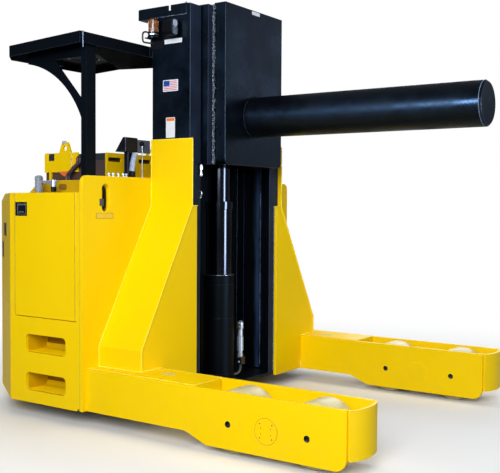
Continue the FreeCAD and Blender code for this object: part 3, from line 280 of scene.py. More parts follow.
# %% Group: floor dust
dust, d_in, d_out = new_group("floor_dust", [
    ("Color", "Color", grey), ("Dust Color", "Color", (0.3, 0.27, 0.22, 1.0)), ("Amount", "Float", 0.3),
    ("Height", "Float", 0.5), ("Vector", "Vector", None)], [("Color", "Color")])
axes = add_node(dust, "ShaderNodeSeparateXYZ", Vector=d_in.outputs["Vector"])
low = add_node(dust, "ShaderNodeMapRange", Value=axes.outputs["Z"], From_Min=0.0,
               From_Max=d_in.outputs["Height"], To_Min=1.0, To_Max=0.0)
specks = add_node(dust, "ShaderNodeTexNoise", Vector=d_in.outputs["Vector"], Scale=9.0, Detail=8.0, Roughness=0.7)
thick = add_node(dust, "ShaderNodeMapRange", Value=specks.outputs[0], From_Min=0.42, From_Max=0.75)
film = calculate(dust, "MULTIPLY", low.outputs[0], thick.outputs[0])
cover = calculate(dust, "MULTIPLY", film, d_in.outputs["Amount"])
laid = mix_colors(dust, cover, d_in.outputs["Color"], d_in.outputs["Dust Color"])
feed(dust, d_out.inputs["Color"], laid)
print("group", dust.name)

# %% Group: skin of the finish
skin, s_in, s_out = new_group("skin", [
    ("Wave Scale", "Float", 60.0), ("Wave", "Float", 0.4), ("Grain Scale", "Float", 900.0),
    ("Grain", "Float", 0.2), ("Roughness", "Float", 0.3), ("Spread", "Float", 0.06),
    ("Vector", "Vector", None)], [("Height", "Float"), ("Roughness", "Float")])
skin_place = s_in.outputs["Vector"]
wave = add_node(skin, "ShaderNodeTexNoise", Vector=skin_place, Scale=s_in.outputs["Wave Scale"], Detail=2.0)
grain = add_node(skin, "ShaderNodeTexNoise", Vector=skin_place, Scale=s_in.outputs["Grain Scale"], Detail=3.0)
waves = calculate(skin, "MULTIPLY", wave.outputs[0], s_in.outputs["Wave"])
feed(skin, s_out.inputs["Height"],
     calculate(skin, "MULTIPLY_ADD", grain.outputs[0], s_in.outputs["Grain"], waves))
smear = add_node(skin, "ShaderNodeTexNoise", Vector=skin_place, Scale=3.0, Detail=6.0, Roughness=0.65)
centred = add_node(skin, "ShaderNodeMapRange", Value=smear.outputs[0], From_Min=0.3, From_Max=0.7, To_Min=-1.0)
feed(skin, s_out.inputs["Roughness"],
     calculate(skin, "MULTIPLY_ADD", centred.outputs[0], s_in.outputs["Spread"], s_in.outputs["Roughness"]))
print("group", skin.name)

# %% [markdown]
# ## The finishes
# A finish is one material: a colour that goes through the shared groups, then a Principled surface.
# Sizes in a pattern are set on Object coordinates, in metres, so a grain is as fine on a lever as it is
# on the mast. Numbers that stay the same all over, such as the coat, are set on the shader itself.

# %% A finish from its values
finishes = {}
cold_gleam = (0.5, 0.74, 1.0, 1.0)


def use_group(tree, group, **inputs):
    """A shared effect placed in a tree, with that tree's own values."""
    return add_node(tree, "ShaderNodeGroup", {"node_tree": group}, **inputs)


def make_finish(name, color, edge=None, edge_amount=0.5, cloud=0.06, cloud_scale=1.6, dusty=0.0, dust_height=0.6,
                roughness=0.35, spread=0.06, wave=0.3, wave_scale=60.0, grain=0.1, grain_scale=900.0,
                bump=0.15, depth=0.001, metallic=0.0, coat=0.0, coat_roughness=0.1, specular=0.5,
                specular_tint=pure_white):
    """A material whose colour, roughness and skin vary over the surface. color and edge go from 0 to 255."""
    finishes[name], tree = new_material(name)
    where = add_node(tree, "ShaderNodeTexCoord").outputs["Object"]
    tone = use_group(tree, clouds, Color=linear(*color), Scale=cloud_scale, Amount=cloud, Vector=where)
    # The bevel faces take the edge colour: partly worn paint, partly a painted highlight.
    with_worn_and_lit_edges = use_group(tree, edges, Color=tone.outputs["Color"], Edge_Color=linear(*(edge or color)),
                       Amount=edge_amount, Vector=where)
    dusted = use_group(tree, dust, Color=with_worn_and_lit_edges.outputs["Color"], Amount=dusty, Height=dust_height, Vector=where)
    face = use_group(tree, skin, Wave_Scale=wave_scale, Wave=wave, Grain_Scale=grain_scale, Grain=grain,
                     Roughness=roughness, Spread=spread, Vector=where)
    bumped = add_node(tree, "ShaderNodeBump", Strength=bump, Distance=depth, Height=face.outputs["Height"])
    surface = add_node(tree, "ShaderNodeBsdfPrincipled", Base_Color=dusted.outputs["Color"],
                       Roughness=face.outputs["Roughness"], Normal=bumped.outputs["Normal"], Metallic=metallic,
                       Coat_Weight=coat, Coat_Roughness=coat_roughness, Specular_IOR_Level=specular,
                       Specular_Tint=specular_tint)
    add_node(tree, "ShaderNodeOutputMaterial", Surface=surface.outputs[0])
    print("finish", name)


# %% Paints, plastics, rubber and metals
make_finish("yellow_enamel", (252, 212, 0), edge=(255, 230, 60), edge_amount=0.45, cloud=0.02, dusty=0.05,
            dust_height=0.5, roughness=0.36, spread=0.05, wave=1.0, wave_scale=45.0, bump=0.05, specular=0.07)
make_finish("black_enamel", (3, 6, 11), edge=(34, 44, 62), edge_amount=0.5, cloud=0.25, roughness=0.32,
            spread=0.08, wave=0.4, wave_scale=30.0, bump=0.03, dusty=0.1, dust_height=0.9, specular=0.22,
            specular_tint=cold_gleam)
make_finish("matt_black", (3, 4, 7), edge=(40, 56, 84), edge_amount=0.6, cloud=0.2, roughness=0.45,
            spread=0.08, wave=0.4, wave_scale=30.0, bump=0.03, specular=0.08, specular_tint=cold_gleam)
make_finish("moulded_black", (9, 10, 12), edge=(80, 90, 104), edge_amount=0.6, cloud=0.08,
            roughness=0.45, wave=0.1, grain=1.0, grain_scale=700.0, bump=0.3, depth=0.0006)
make_finish("hard_chrome", (46, 50, 60), cloud=0.03, roughness=0.12, spread=0.03, metallic=1.0, wave=0.1,
            bump=0.03)
make_finish("machined_steel", (150, 153, 158), cloud=0.08, roughness=0.3, spread=0.08, metallic=1.0, bump=0.06)
make_finish("tyre_rubber", (38, 38, 40), edge=(80, 80, 82), cloud=0.15, roughness=0.75, grain=1.0,
            bump=0.3, dusty=0.5, dust_height=0.4)
make_finish("pad_vinyl", (150, 158, 172), edge=(180, 186, 196), cloud_scale=60.0, cloud=0.3,
            roughness=0.6, wave=1.0, wave_scale=260.0, grain=0.6, grain_scale=900.0, bump=0.5, depth=0.0012)
make_finish("amber_lens", (120, 64, 2), edge=(210, 120, 20), cloud=0.4, cloud_scale=50.0, roughness=0.12,
            wave=0.5, wave_scale=80.0, bump=0.06, coat=1.0, coat_roughness=0.05)
make_finish("lamp_black", (4, 5, 8), edge=(40, 50, 68), cloud=0.08, roughness=0.42, grain=0.8,
            grain_scale=800.0, bump=0.15, specular=0.14)
make_finish("worn_black", (2, 5, 11), edge=(56, 70, 96), edge_amount=0.4, cloud=0.5, cloud_scale=9.0,
            roughness=0.3, spread=0.16, wave=0.3, wave_scale=30.0, grain=0.5, grain_scale=160.0, bump=0.06,
            specular=0.24, specular_tint=cold_gleam)
make_finish("ram_black", (3, 4, 8), edge=(60, 78, 110), edge_amount=0.5, cloud=0.5, cloud_scale=9.0,
            roughness=0.4, spread=0.2, wave=1.0, wave_scale=38.0, grain=1.0, grain_scale=190.0, bump=0.3,
            depth=0.0008, specular=0.3, specular_tint=cold_gleam)
make_finish("console_black", (5, 6, 10), edge=(96, 116, 150), edge_amount=0.7, cloud=0.15, roughness=0.5,
            wave=0.4, grain=1.0, grain_scale=600.0, bump=0.15, specular=0.14)
make_finish("grip_grey", (156, 172, 200), edge=(180, 196, 216), cloud=0.35, cloud_scale=40.0, roughness=0.42,
            grain=1.0, grain_scale=700.0, bump=0.3)
make_finish("cast_silver", (176, 188, 208), edge=(220, 228, 240), cloud=0.12, cloud_scale=25.0,
            roughness=0.36, metallic=0.7, grain=0.6, grain_scale=500.0, bump=0.25)
make_finish("textured_grey", (84, 92, 108), edge=(130, 140, 158), cloud=0.35, cloud_scale=70.0,
            roughness=0.55, grain=1.0, grain_scale=260.0, bump=0.7, depth=0.0012)
make_finish("cable_brown", (112, 52, 30), edge=(150, 80, 50), cloud=0.35, cloud_scale=40.0, roughness=0.5,
            grain=0.5, bump=0.2)
# A dark brown that paints the shade inside the yellow battery frame, where little light reaches.
make_finish("battery_painted_shade", (74, 44, 8), edge=(110, 74, 26), cloud=0.3, cloud_scale=5.0, roughness=0.5,
            bump=0.1)
make_finish("vinyl_tag", (236, 112, 8), cloud=0.1, cloud_scale=30.0, roughness=0.5, bump=0.05)
# The next two yellows are painted shade: the first for walls that stand in shade, the sides of the step pockets
# and the battery partition, and the second, darker still, for the pockets' backs and ceilings.
make_finish("shaded_pocket_yellow", (222, 176, 0), edge=(250, 214, 20), edge_amount=0.7, cloud=0.1, roughness=0.5,
            wave=0.5, bump=0.06, specular=0.1)
make_finish("pocket_shade", (150, 106, 0), edge=(240, 196, 10), edge_amount=0.7, cloud=0.2, roughness=0.55,
            wave=0.5, bump=0.06, specular=0.08)
# A lighter bluish black for the rails' and bars' front faces: a painted sheen where light falls on them.
make_finish("flange_painted_sheen", (26, 36, 54), edge=(60, 78, 110), edge_amount=0.5, cloud=0.5, cloud_scale=3.0,
            roughness=0.4, spread=0.12, bump=0.03, specular=0.1)
print("finishes", sorted(finishes))

# %% [markdown]
# ## Soft edges on every steel piece
# A cut and painted plate has a small round along each corner, and that thin round catches the light.
# The CAD model's corners are perfectly sharp, so each piece is copied, its loose triangles are
# merged into whole faces, and a Bevel modifier rounds the sharp edges. Weighted normals keep the
# big faces flat to the eye. The faces that the bevel made get an attribute that the finishes read:
# most finishes paint them lighter, partly as worn paint and partly as a painted highlight.

# %% From a working shape to a finished piece
def keep_object(name, mesh, body, slot_name, *nodes):
    """Puts a finished mesh in the scene, riding on its body and standing for its CAD nodes."""
    made = bpy.data.objects.new(name, mesh)
    bpy.context.scene.collection.objects.link(made)
    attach(made, body)
    if nodes:
        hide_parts(*nodes)
    print("piece", name, "on", body, "faces", len(mesh.polygons))
    return made


def held(data):
    """A working object that holds a mesh or a curve until it is baked."""
    holder = bpy.data.objects.new("holder", data)
    bpy.context.scene.collection.objects.link(holder)
    return holder


def baked_mesh(holder):
    """The evaluated mesh of an object with modifiers, as a plain mesh."""
    bpy.context.view_layer.update()
    graph = bpy.context.evaluated_depsgraph_get()
    return bpy.data.meshes.new_from_object(holder.evaluated_get(graph), preserve_all_data_layers=True,
                                           depsgraph=graph)


def finished_mesh(holder):
    """The baked mesh of a working object, which is then removed."""
    mesh = baked_mesh(holder)
    bpy.data.objects.remove(holder)
    return mesh


def mesh_of(shape, name):
    """The bmesh as a plain mesh of that name. The bmesh is used up."""
    mesh = bpy.data.meshes.new(name)
    shape.to_mesh(mesh)
    shape.free()
    return mesh


def coat_mesh(mesh, *names):
    """Gives the mesh those finishes and smooth faces, all of them in the first finish."""
    mesh.materials.clear()
    for name in names:
        mesh.materials.append(finishes[name])
    for face in mesh.polygons:
        face.use_smooth = True
        face.material_index = 0


# %% A softened copy of a CAD piece
def merged_copy(node):
    """The node's mesh with its doubles merged and its flat triangles joined into faces."""
    shape = bmesh.new()
    shape.from_mesh(frame["nodes"][node].data)
    bmesh.ops.remove_doubles(shape, verts=shape.verts, dist=0.00002)
    bmesh.ops.dissolve_limit(shape, angle_limit=math.radians(0.6), verts=shape.verts, edges=shape.edges)
    return mesh_of(shape, node + "_soft")


def soften(mesh, round_mm, finish, angle=32.0, weighted=True):
    """The mesh with its sharp edges rounded, and 1 in "edge" on the faces that the bevel made."""
    coat_mesh(mesh, finish, finish)
    mesh.set_sharp_from_angle(angle=math.radians(angle))
    holder = held(mesh)
    bevel = holder.modifiers.new("round", "BEVEL")
    bevel.width, bevel.segments = round_mm / 1000, 2
    bevel.limit_method, bevel.angle_limit = "ANGLE", math.radians(angle)
    bevel.material = 1
    if weighted:
        holder.modifiers.new("flat", "WEIGHTED_NORMAL").keep_sharp = True
    result = finished_mesh(holder)
    rim_value = result.attributes.new("edge", "FLOAT", "FACE")
    for face in result.polygons:
        rim_value.data[face.index].value = float(face.material_index == 1)
        face.material_index = 0
    result.materials.pop(index=1)
    return result


# %% Which finish each piece has
yellow = ["rear_counterweight", "rear_cover", "front_bulkhead", "right_side_panel", "left_side_panel",
          "inner_cover", "entry_door", "battery_frame", "battery_partition", "right_mast_brace",
          "left_mast_brace", "right_outrigger", "left_outrigger", "right_bogie", "left_bogie", "step_pockets"]
black = ["chassis_frame", "operator_deck", "battery_floor", "battery_case", "drive_yoke",
         "right_mast_rail", "left_mast_rail", "mast_back_plate", "mast_top_plate", "carriage_plate",
         "carriage_side_bars", "coil_ram", "lift_cylinder_barrel", "overhead_guard", "guard_post"]
plastic = ["battery_lid", "control_console"]
chrome = ["cylinder_stage_1", "cylinder_stage_2", "lift_rod"]
worn = ["right_mast_rail", "left_mast_rail", "carriage_side_bars"]
recipes = {}
for nodes, finish, slot_name, round_mm in (
        (yellow, "yellow_enamel", "body_yellow", 3.0), (black, "black_enamel", "frame_black", 3.0),
        (plastic, "moulded_black", "black_plastic", 1.5), (chrome, "hard_chrome", "cylinder_chrome", 1.5),
        (worn, "worn_black", "frame_black", 3.0)):
    recipes.update({node: (finish, slot_name, round_mm) for node in nodes})
recipes.update({
    "drive_wheel": ("tyre_rubber", "drive_tyre", 3.0),
    "carriage_rollers": ("machined_steel", "roller_steel", 2.0),
    "coil_ram": ("ram_black", "frame_black", 3.0),
    "carriage_plate": ("worn_black", "frame_black", 4.0),
    "guard_post": ("matt_black", "frame_black", 7.0),
    "overhead_guard": ("matt_black", "frame_black", 3.0),
    "lift_cylinder_barrel": ("matt_black", "frame_black", 3.0),
    # The battery partition stands in shade, so it gets the darker yellow of painted shade.
    "battery_partition": ("shaded_pocket_yellow", "body_yellow", 3.0),
    # The battery case is painted dark brown as the shade inside the yellow frame.
    "battery_case": ("battery_painted_shade", "frame_black", 3.0),
    "control_console": ("console_black", "black_plastic", 3.0),
    # The step pockets' walls get the same painted shade.
    "step_pockets": ("shaded_pocket_yellow", "body_yellow", 2.0),
    "work_light": ("lamp_black", "lamp_black", 2.0),
})
print("pieces with a recipe", len(recipes), "of", len(frame["nodes"]))

# %% Soften them all
for node, (finish, slot_name, round_mm) in recipes.items():
    keep_object(node + "_soft", soften(merged_copy(node), round_mm, finish), body_of_node[node], slot_name, node)
print("softened", len(recipes))


# %% Faces that differ from the rest of their piece
def repaint(node, finish, chosen):
    """Gives the faces for which chosen(face) is true another finish."""
    mesh = bpy.data.objects[node + "_soft"].data
    mesh.materials.append(finishes[finish])
    picked = [face for face in mesh.polygons if chosen(face)]
    for face in picked:
        face.material_index = len(mesh.materials) - 1
    print(node, finish, len(picked), "faces")


# The front faces of the rails and side bars get a painted sheen, a lighter bluish black than the rest.
flange_front = -0.23  # the flanges' front faces lie ahead of this, in metres
for node in worn:
    repaint(node, "flange_painted_sheen", lambda face: face.normal.x > 0.9 and face.center.x > flange_front)
repaint("coil_ram", "matt_black", lambda face: face.normal.x > 0.95)
# The pockets' floors, which the light reaches, keep the plain yellow; their backs and ceilings get the darker
# painted shade.
repaint("step_pockets", "yellow_enamel", lambda face: face.normal.z > 0.9)
repaint("step_pockets", "pocket_shade", lambda face: face.normal.z < -0.9 or abs(face.normal.y) > 0.9)

# %% [markdown]
# ## Weld beads
# The truck is plate steel joined by hand welding, and a bead is a row of small overlapping puddles.
# Modelling them one by one would take days, so a Geometry Nodes tree does it: a line is cut into
# equal steps, a small ball of few faces is set on each step, half sunk in the plate, and a fixed seed
# makes every puddle a little different. The result is turned into a plain mesh that rides on its body.

# %% A tree that lays a bead along any line
def new_tree(name, inputs):
    """A Geometry Nodes tree with a Geometry in, a Geometry out and those named inputs."""
    made = new_group(name, [("Geometry", "Geometry", None)] + inputs, [("Geometry", "Geometry")],
                     "GeometryNodeTree")
    made[0].is_modifier = True
    return made


def along_line(tree):
    """The rotation that turns a piece's X along the line it is set on."""
    tangent = add_node(tree, "GeometryNodeInputTangent")
    return add_node(tree, "FunctionNodeAlignRotationToVector", {"axis": "X"}, Vector=tangent.outputs[0]).outputs[0]


def end_tree(tree, pieces, start, end, smooth=False):
    """Makes the instances real, gives them the finish, and hands them out."""
    result = add_node(tree, "GeometryNodeRealizeInstances", Geometry=pieces.outputs["Instances"])
    if smooth:
        result = add_node(tree, "GeometryNodeSetShadeSmooth", Geometry=result.outputs["Geometry"])
    result = add_node(tree, "GeometryNodeSetMaterial", Geometry=result.outputs["Geometry"],
                      Material=start.outputs["Finish"])
    feed(tree, end.inputs["Geometry"], result.outputs["Geometry"])
    print("tree", tree.name, "nodes", len(tree.nodes))


def number_socket(sockets, name):
    """The first socket of that name that holds a plain number."""
    return [s for s in sockets if s.name == name and s.type == "VALUE"][0]


bead_tree, b_in, b_out = new_tree("weld_bead", [
    ("Bead Width", "Float", 0.008), ("Pitch", "Float", 0.005), ("Unevenness", "Float", 0.2),
    ("Finish", "Material", None)])
bead_width, unevenness = b_in.outputs["Bead Width"], b_in.outputs["Unevenness"]
line = add_node(bead_tree, "GeometryNodeMeshToCurve", Mesh=b_in.outputs["Geometry"])
stepped = add_node(bead_tree, "GeometryNodeResampleCurve", {"mode": "LENGTH"}, Curve=line.outputs["Curve"],
                   Length=b_in.outputs["Pitch"])
stray = add_node(bead_tree, "FunctionNodeRandomValue", {"data_type": "FLOAT_VECTOR"},
                 Min=(-0.3, -0.3, -0.3), Max=(0.3, 0.3, 0.3), Seed=7)
shift = add_node(bead_tree, "ShaderNodeVectorMath", {"operation": "SCALE"}, Vector=stray.outputs["Value"],
                 Scale=calculate(bead_tree, "MULTIPLY", bead_width, unevenness))
moved = add_node(bead_tree, "GeometryNodeSetPosition", Geometry=stepped.outputs["Curve"], Offset=shift.outputs[0])
puddle = add_node(bead_tree, "GeometryNodeMeshUVSphere", Segments=8, Rings=5, Radius=0.5)
vary = add_node(bead_tree, "FunctionNodeRandomValue", {"data_type": "FLOAT"}, Seed=11)
feed(bead_tree, number_socket(vary.inputs, "Min"), calculate(bead_tree, "SUBTRACT", 1.0, unevenness))
feed(bead_tree, number_socket(vary.inputs, "Max"), calculate(bead_tree, "ADD", 1.0, unevenness))
sized = calculate(bead_tree, "MULTIPLY", number_socket(vary.outputs, "Value"), bead_width)
puddles = add_node(bead_tree, "GeometryNodeInstanceOnPoints", Points=moved.outputs["Geometry"],
                   Instance=puddle.outputs["Mesh"], Rotation=along_line(bead_tree), Scale=sized)
end_tree(bead_tree, puddles, b_in, b_out, smooth=True)


# %% Run a tree on lines given in millimetres
def lines_mesh(name, lines):
    """One mesh of open lines through the given points, in millimetres."""
    points, pairs = [], []
    for line in lines:
        first = len(points)
        points += [(x / 1000, y / 1000, z / 1000) for x, y, z in line]
        pairs += [(first + i, first + i + 1) for i in range(len(line) - 1)]
    mesh = bpy.data.meshes.new(name)
    mesh.from_pydata(points, pairs, [])
    return mesh


def run_tree(tree, mesh, values, name):
    """The tree's result on that mesh, as a plain mesh with no modifier."""
    holder = held(mesh)
    worker = holder.modifiers.new("nodes", "NODES")
    worker.node_group = tree
    identifiers = {s.name: s.identifier for s in tree.interface.items_tree if s.in_out == "INPUT"}
    for title, value in values.items():
        worker[identifiers[title]] = value
    result = finished_mesh(holder)
    result.name = name
    while None in result.materials[:]:
        result.materials.pop(index=result.materials[:].index(None))
    return result


def both_sides(lines):
    """The lines and their mirror on the truck's other side."""
    return lines + [[(x, -y, z) for x, y, z in line] for line in lines]


def circle_points(axis, centre, radius, steps):
    """Points in millimetres once round a circle that faces along the axis, both ends included."""
    x, y, z = centre
    turns = [(radius * math.cos(k / steps * math.tau), radius * math.sin(k / steps * math.tau))
             for k in range(steps + 1)]
    if axis == "x":
        return [(x, y + u, z + v) for u, v in turns]
    if axis == "y":
        return [(x + u, y, z + v) for u, v in turns]
    return [(x + u, y + v, z) for u, v in turns]


def weld(name, lines, width, finish, body, slot_name, pitch=0.6, uneven=0.18):
    """A bead along the lines, width in millimetres, pitch as a share of the width."""
    mesh = run_tree(bead_tree, lines_mesh(name + "_line", lines), {
        "Bead Width": width / 1000, "Pitch": width * pitch / 1000, "Unevenness": uneven,
        "Finish": finishes[finish]}, name)
    keep_object(name, mesh, body, slot_name)
    print("weld", name, "faces", len(mesh.polygons))


# %% Bead finishes: bright metal under thin paint, and a bluish painted gleam
make_finish("yellow_bead", (255, 226, 40), cloud=0.18, cloud_scale=60.0, roughness=0.22, spread=0.05, coat=0.3,
            bump=0.05)
# The second is a painted highlight: a pale bluish colour that stands for the light caught by bead ripples and lit
# edges.
make_finish("painted_gleam", (120, 142, 176), cloud=0.4, cloud_scale=60.0, roughness=0.25, spread=0.1, bump=0.2)
make_finish("black_bead", (34, 44, 62), cloud=0.6, cloud_scale=80.0, roughness=0.24, spread=0.12, coat=0.4,
            wave=1.0, wave_scale=300.0, bump=0.4, specular=0.8)

# %% Beads of the yellow weldment
band_side = [(-606, 2006), (-606, 1523), (-1155, 542), (-1155, 402)]
brace_lines = [
    [(-573, y, z) for y, z in band_side],
    [(-187, y + (9 if z < 1500 else 3), z - 2) for y, z in band_side[1:]],
    [(-574, -599, 2010), (-188, -599, 2010)],
    [(-186, -599, 2006), (-186, -599, 1523)],
    [(-574, -1157, 401), (-187, -1157, 401)],
    [(-187, -1150, 401), (-187, -940, 401)],
    [(-187, -594, 1524), (-187, -542, 1524)],
]
weld("brace_welds", both_sides(brace_lines), 8.0, "yellow_bead", "root", "body_yellow")
# The rail joint's bead is drawn in the painted highlight colour, so its ripples show as bright dots.
rail_joint = [[(-215, -532, 150), (-215, -532, 1520)]]
weld("rail_joint_welds", both_sides(rail_joint), 9.0, "painted_gleam", "root", "frame_black", pitch=1.3, uneven=0.4)
body_lines = [
    [(-603, -1311.5, 110), (-603, -1311.5, 1608)],
    [(-574, -1262, 402), (-190, -1262, 399)],
    [(-190, -1258, 399), (340, -1258, 399)],
    [(349, -1255, 396), (349, -960, 396)],
    [(-190, -958, 399), (340, -958, 399)],
    [(1449, -1257, 120), (1449, -1257, 394)],
    [(1449, -958, 120), (1449, -958, 394)],
]
weld("body_welds", both_sides(body_lines), 5.5, "yellow_bead", "root", "body_yellow")

# %% Beads of the mast and the carriage
ram_height, barrel_x = 2201.0, -389.0
carriage_lines = [[(-152, y, 1836), (-152, y, 2990)] for y in (-391, -404)]
weld("carriage_welds", both_sides(carriage_lines), 17.0, "black_bead", "carriage", "frame_black", pitch=0.5,
     uneven=0.38)
ram_ring = circle_points("x", (-52, 0, ram_height), 155, 36)
weld("ram_weld", [ram_ring], 12.0, "worn_black", "carriage", "frame_black", pitch=0.45, uneven=0.15)
mast_lines = [
    [(-572, -594.5, 2908), (-255, -594.5, 2908)],
    [(-255, -594.5, 2912), (-255, -470, 2912)],
]
weld("mast_welds", both_sides(mast_lines), 9.0, "black_bead", "root", "frame_black", pitch=0.5, uneven=0.3)
foot_ring = circle_points("z", (barrel_x, 0, 141), 124, 30)
weld("barrel_foot_weld", [foot_ring], 9.0, "black_bead", "root", "frame_black")
guard_lines = [
    [(-637, -1213, 2674), (-637, -1123, 2674)],
    [(-685, -1165, 2110), (-685, -1165, 2640)],
    [(-700, -1174.5, 2672), (-1265, -1174.5, 2649)],
]
weld("guard_welds", guard_lines, 6.0, "black_bead", "root", "frame_black", pitch=0.55)

# %% [markdown]
# ## Screws and pins
# Screws repeat, so a second tree puts one small head on every point of a mesh and turns it along a
# direction stored on that point. The bogie pins are held by a flush disc with four countersunk screws
# and a keeper plate, and each axle ends in a dark socket inside its hole, whose dark lining is painted shade.

# %% A tree that sets a head on each point
head_tree, h_in, h_out = new_tree("screw_heads", [
    ("Head Radius", "Float", 0.008), ("Head Height", "Float", 0.005), ("Sides", "Int", 6),
    ("Finish", "Material", None)])
head_radius, head_height = h_in.outputs["Head Radius"], h_in.outputs["Head Height"]
collar = add_node(head_tree, "GeometryNodeMeshCylinder", Vertices=16,
                  Radius=calculate(head_tree, "MULTIPLY", head_radius, 1.35),
                  Depth=calculate(head_tree, "MULTIPLY", head_height, 0.5))
head = add_node(head_tree, "GeometryNodeMeshCylinder", Vertices=h_in.outputs["Sides"], Radius=head_radius,
                Depth=calculate(head_tree, "MULTIPLY", head_height, 2.0))
whole = add_node(head_tree, "GeometryNodeJoinGeometry")
for part in (collar, head):
    head_tree.links.new(part.outputs["Mesh"], whole.inputs[0])
facing = add_node(head_tree, "GeometryNodeInputNamedAttribute", {"data_type": "FLOAT_VECTOR"}, Name="facing")
upright = add_node(head_tree, "FunctionNodeAlignRotationToVector", {"axis": "Z"},
                   Vector=facing.outputs["Attribute"])
heads = add_node(head_tree, "GeometryNodeInstanceOnPoints", Points=h_in.outputs["Geometry"],
                 Instance=whole.outputs["Geometry"], Rotation=upright.outputs["Rotation"])
end_tree(head_tree, heads, h_in, h_out)


def screws(name, places, radius, height, finish, body, slot_name, sides=6):
    """Heads at the places, each ((x, y, z), (direction)), in millimetres."""
    mesh = bpy.data.meshes.new(name + "_points")
    mesh.from_pydata([[v / 1000 for v in where] for where, _ in places], [], [])
    directions = mesh.attributes.new("facing", "FLOAT_VECTOR", "POINT")
    for i, (_, direction) in enumerate(places):
        directions.data[i].vector = direction
    mesh = run_tree(head_tree, mesh, {"Head Radius": radius / 1000, "Head Height": height / 1000, "Sides": sides,
                                      "Finish": finishes[finish]}, name)
    keep_object(name, mesh, body, slot_name)
    print("screws", name, len(places))


# %% Turned parts, joined parts and thin lines
def lathe(name, profile, axis, centre, finish, steps=32):
    """A turned part. profile is (along, radius) pairs in millimetres, from end to end on the axis."""
    shape = bmesh.new()
    base = {"x": Vector((1, 0, 0)), "y": Vector((0, 1, 0)), "z": Vector((0, 0, 1))}[axis]
    side = Vector((0, 0, 1)) if axis != "z" else Vector((1, 0, 0))
    other = base.cross(side)
    rings = []
    for along, radius in profile:
        middle = (Vector(centre) + base * along) / 1000
        if radius < 0.001:
            rings.append([shape.verts.new(middle)])
        else:
            rings.append([shape.verts.new(middle + (side * math.cos(a) + other * math.sin(a)) * radius / 1000)
                          for a in (math.tau * k / steps for k in range(steps))])
    for low, high in zip(rings, rings[1:]):
        for k in range(steps):
            corners = [low[k % len(low)], low[(k + 1) % len(low)], high[(k + 1) % len(high)], high[k % len(high)]]
            unique = list(dict.fromkeys(corners))
            if len(unique) > 2:
                shape.faces.new(unique)
    bmesh.ops.recalc_face_normals(shape, faces=shape.faces)
    mesh = mesh_of(shape, name)
    coat_mesh(mesh, finish)
    mesh.set_sharp_from_angle(angle=math.radians(35))
    return mesh


def join_meshes(name, meshes):
    """Several meshes as one, each face keeping its material."""
    shape = bmesh.new()
    materials = []
    for mesh in meshes:
        for material in mesh.materials:
            if material not in materials:
                materials.append(material)
        places = [materials.index(material) for material in mesh.materials]
        first = len(shape.faces)
        shape.from_mesh(mesh)
        shape.faces.ensure_lookup_table()
        for face in shape.faces[first:]:
            face.material_index = places[face.material_index]
    made = mesh_of(shape, name)
    for material in materials:
        made.materials.append(material)
    return made


def tube(name, points, radius, finish, spline, sides):
    """A round line through points in millimetres, closed if the last is the first."""
    curve = bpy.data.curves.new(name, "CURVE")
    curve.dimensions = "3D"
    curve.bevel_depth, curve.bevel_resolution = radius / 1000, sides
    curve.use_fill_caps = True
    curve.resolution_u = 10
    line = curve.splines.new(spline)
    loop = points[0] == points[-1]
    kept = points[:-1] if loop else points
    line.points.add(len(kept) - 1)
    for point, where in zip(line.points, kept):
        point.co = (where[0] / 1000, where[1] / 1000, where[2] / 1000, 1)
    line.use_cyclic_u = loop
    if spline == "NURBS":
        line.order_u = 3
        line.use_endpoint_u = True
    mesh = finished_mesh(held(curve))
    coat_mesh(mesh, finish)
    return mesh


def groove(points, radius, finish):
    """A thin line with straight runs, for a seam, a ring or a piped edge."""
    return tube("groove", points, radius, finish, "POLY", 1)


# %% Discs, pins and keeper plates of the bogies
make_finish("zinc_plate", (186, 192, 202), edge=(230, 234, 240), cloud=0.12, cloud_scale=30.0,
            roughness=0.3, spread=0.1, metallic=1.0, bump=0.1)
make_finish("dark_socket", (14, 15, 20), cloud=0.2, roughness=0.32, coat=0.3, bump=0.05)
make_finish("yellow_seam", (150, 112, 0), cloud=0.2, cloud_scale=40.0, roughness=0.5, bump=0.1)
bogie_x, axle_z = 904.0, 196.0
bogie_outer_y, bogie_inner_y = 1279.0, 936.0
axles = (625.0, 1183.0)
disc_parts, small_screws = [], []
for sign in (-1, 1):
    face_y = sign * (bogie_outer_y + 1.4)
    circle = circle_points("y", (bogie_x, face_y - sign * 0.9, axle_z), 79, 64)
    disc_parts.append(groove(circle[:-1] + circle[:1], 1.5, "yellow_seam"))
    for flip in (-1, 1):
        for end in (-1, 1):
            keeper = [(bogie_x + flip * x, face_y, axle_z + end * z) for x, z in ((37, 11), (34, 17), (36, 25))]
            disc_parts.append(groove(keeper, 1.9, "yellow_seam"))
    small_screws += [((bogie_x + dx, face_y - sign * 0.6, axle_z + dz), (0, sign, 0))
                     for dx in (-43, 43) for dz in (-43, 43)]
keep_object("pivot_disc_lines", join_meshes("pivot_disc_lines", disc_parts), "root", "body_yellow")
screws("pivot_screws", small_screws, 4.2, 1.2, "dark_socket", "root", "frame_black", sides=10)
axle_parts = []
for sign in (-1, 1):
    for x in axles:
        for wall, inwards in ((bogie_outer_y, 1), (bogie_inner_y, -1)):
            near, far = sign * (wall - 1.5 * inwards), sign * (wall - 21.0 * inwards)
            # The bore's dark lining is painted shade inside the hole; the inner end is the axle's dark socket.
            bore_lining_shade = [(near, 20.3), (near, 19.2), (far * 0.85 + near * 0.15, 18.4), (far * 0.8 + near * 0.2, 9.0),
                    (far, 8.0), (far, 0.0)]
            axle_parts.append(lathe("axle_end", bore_lining_shade, "y", (x, 0, axle_z), "dark_socket", steps=28))
keep_object("axle_ends", join_meshes("axle_ends", axle_parts), "root", "frame_black")
print("bogie pins done")

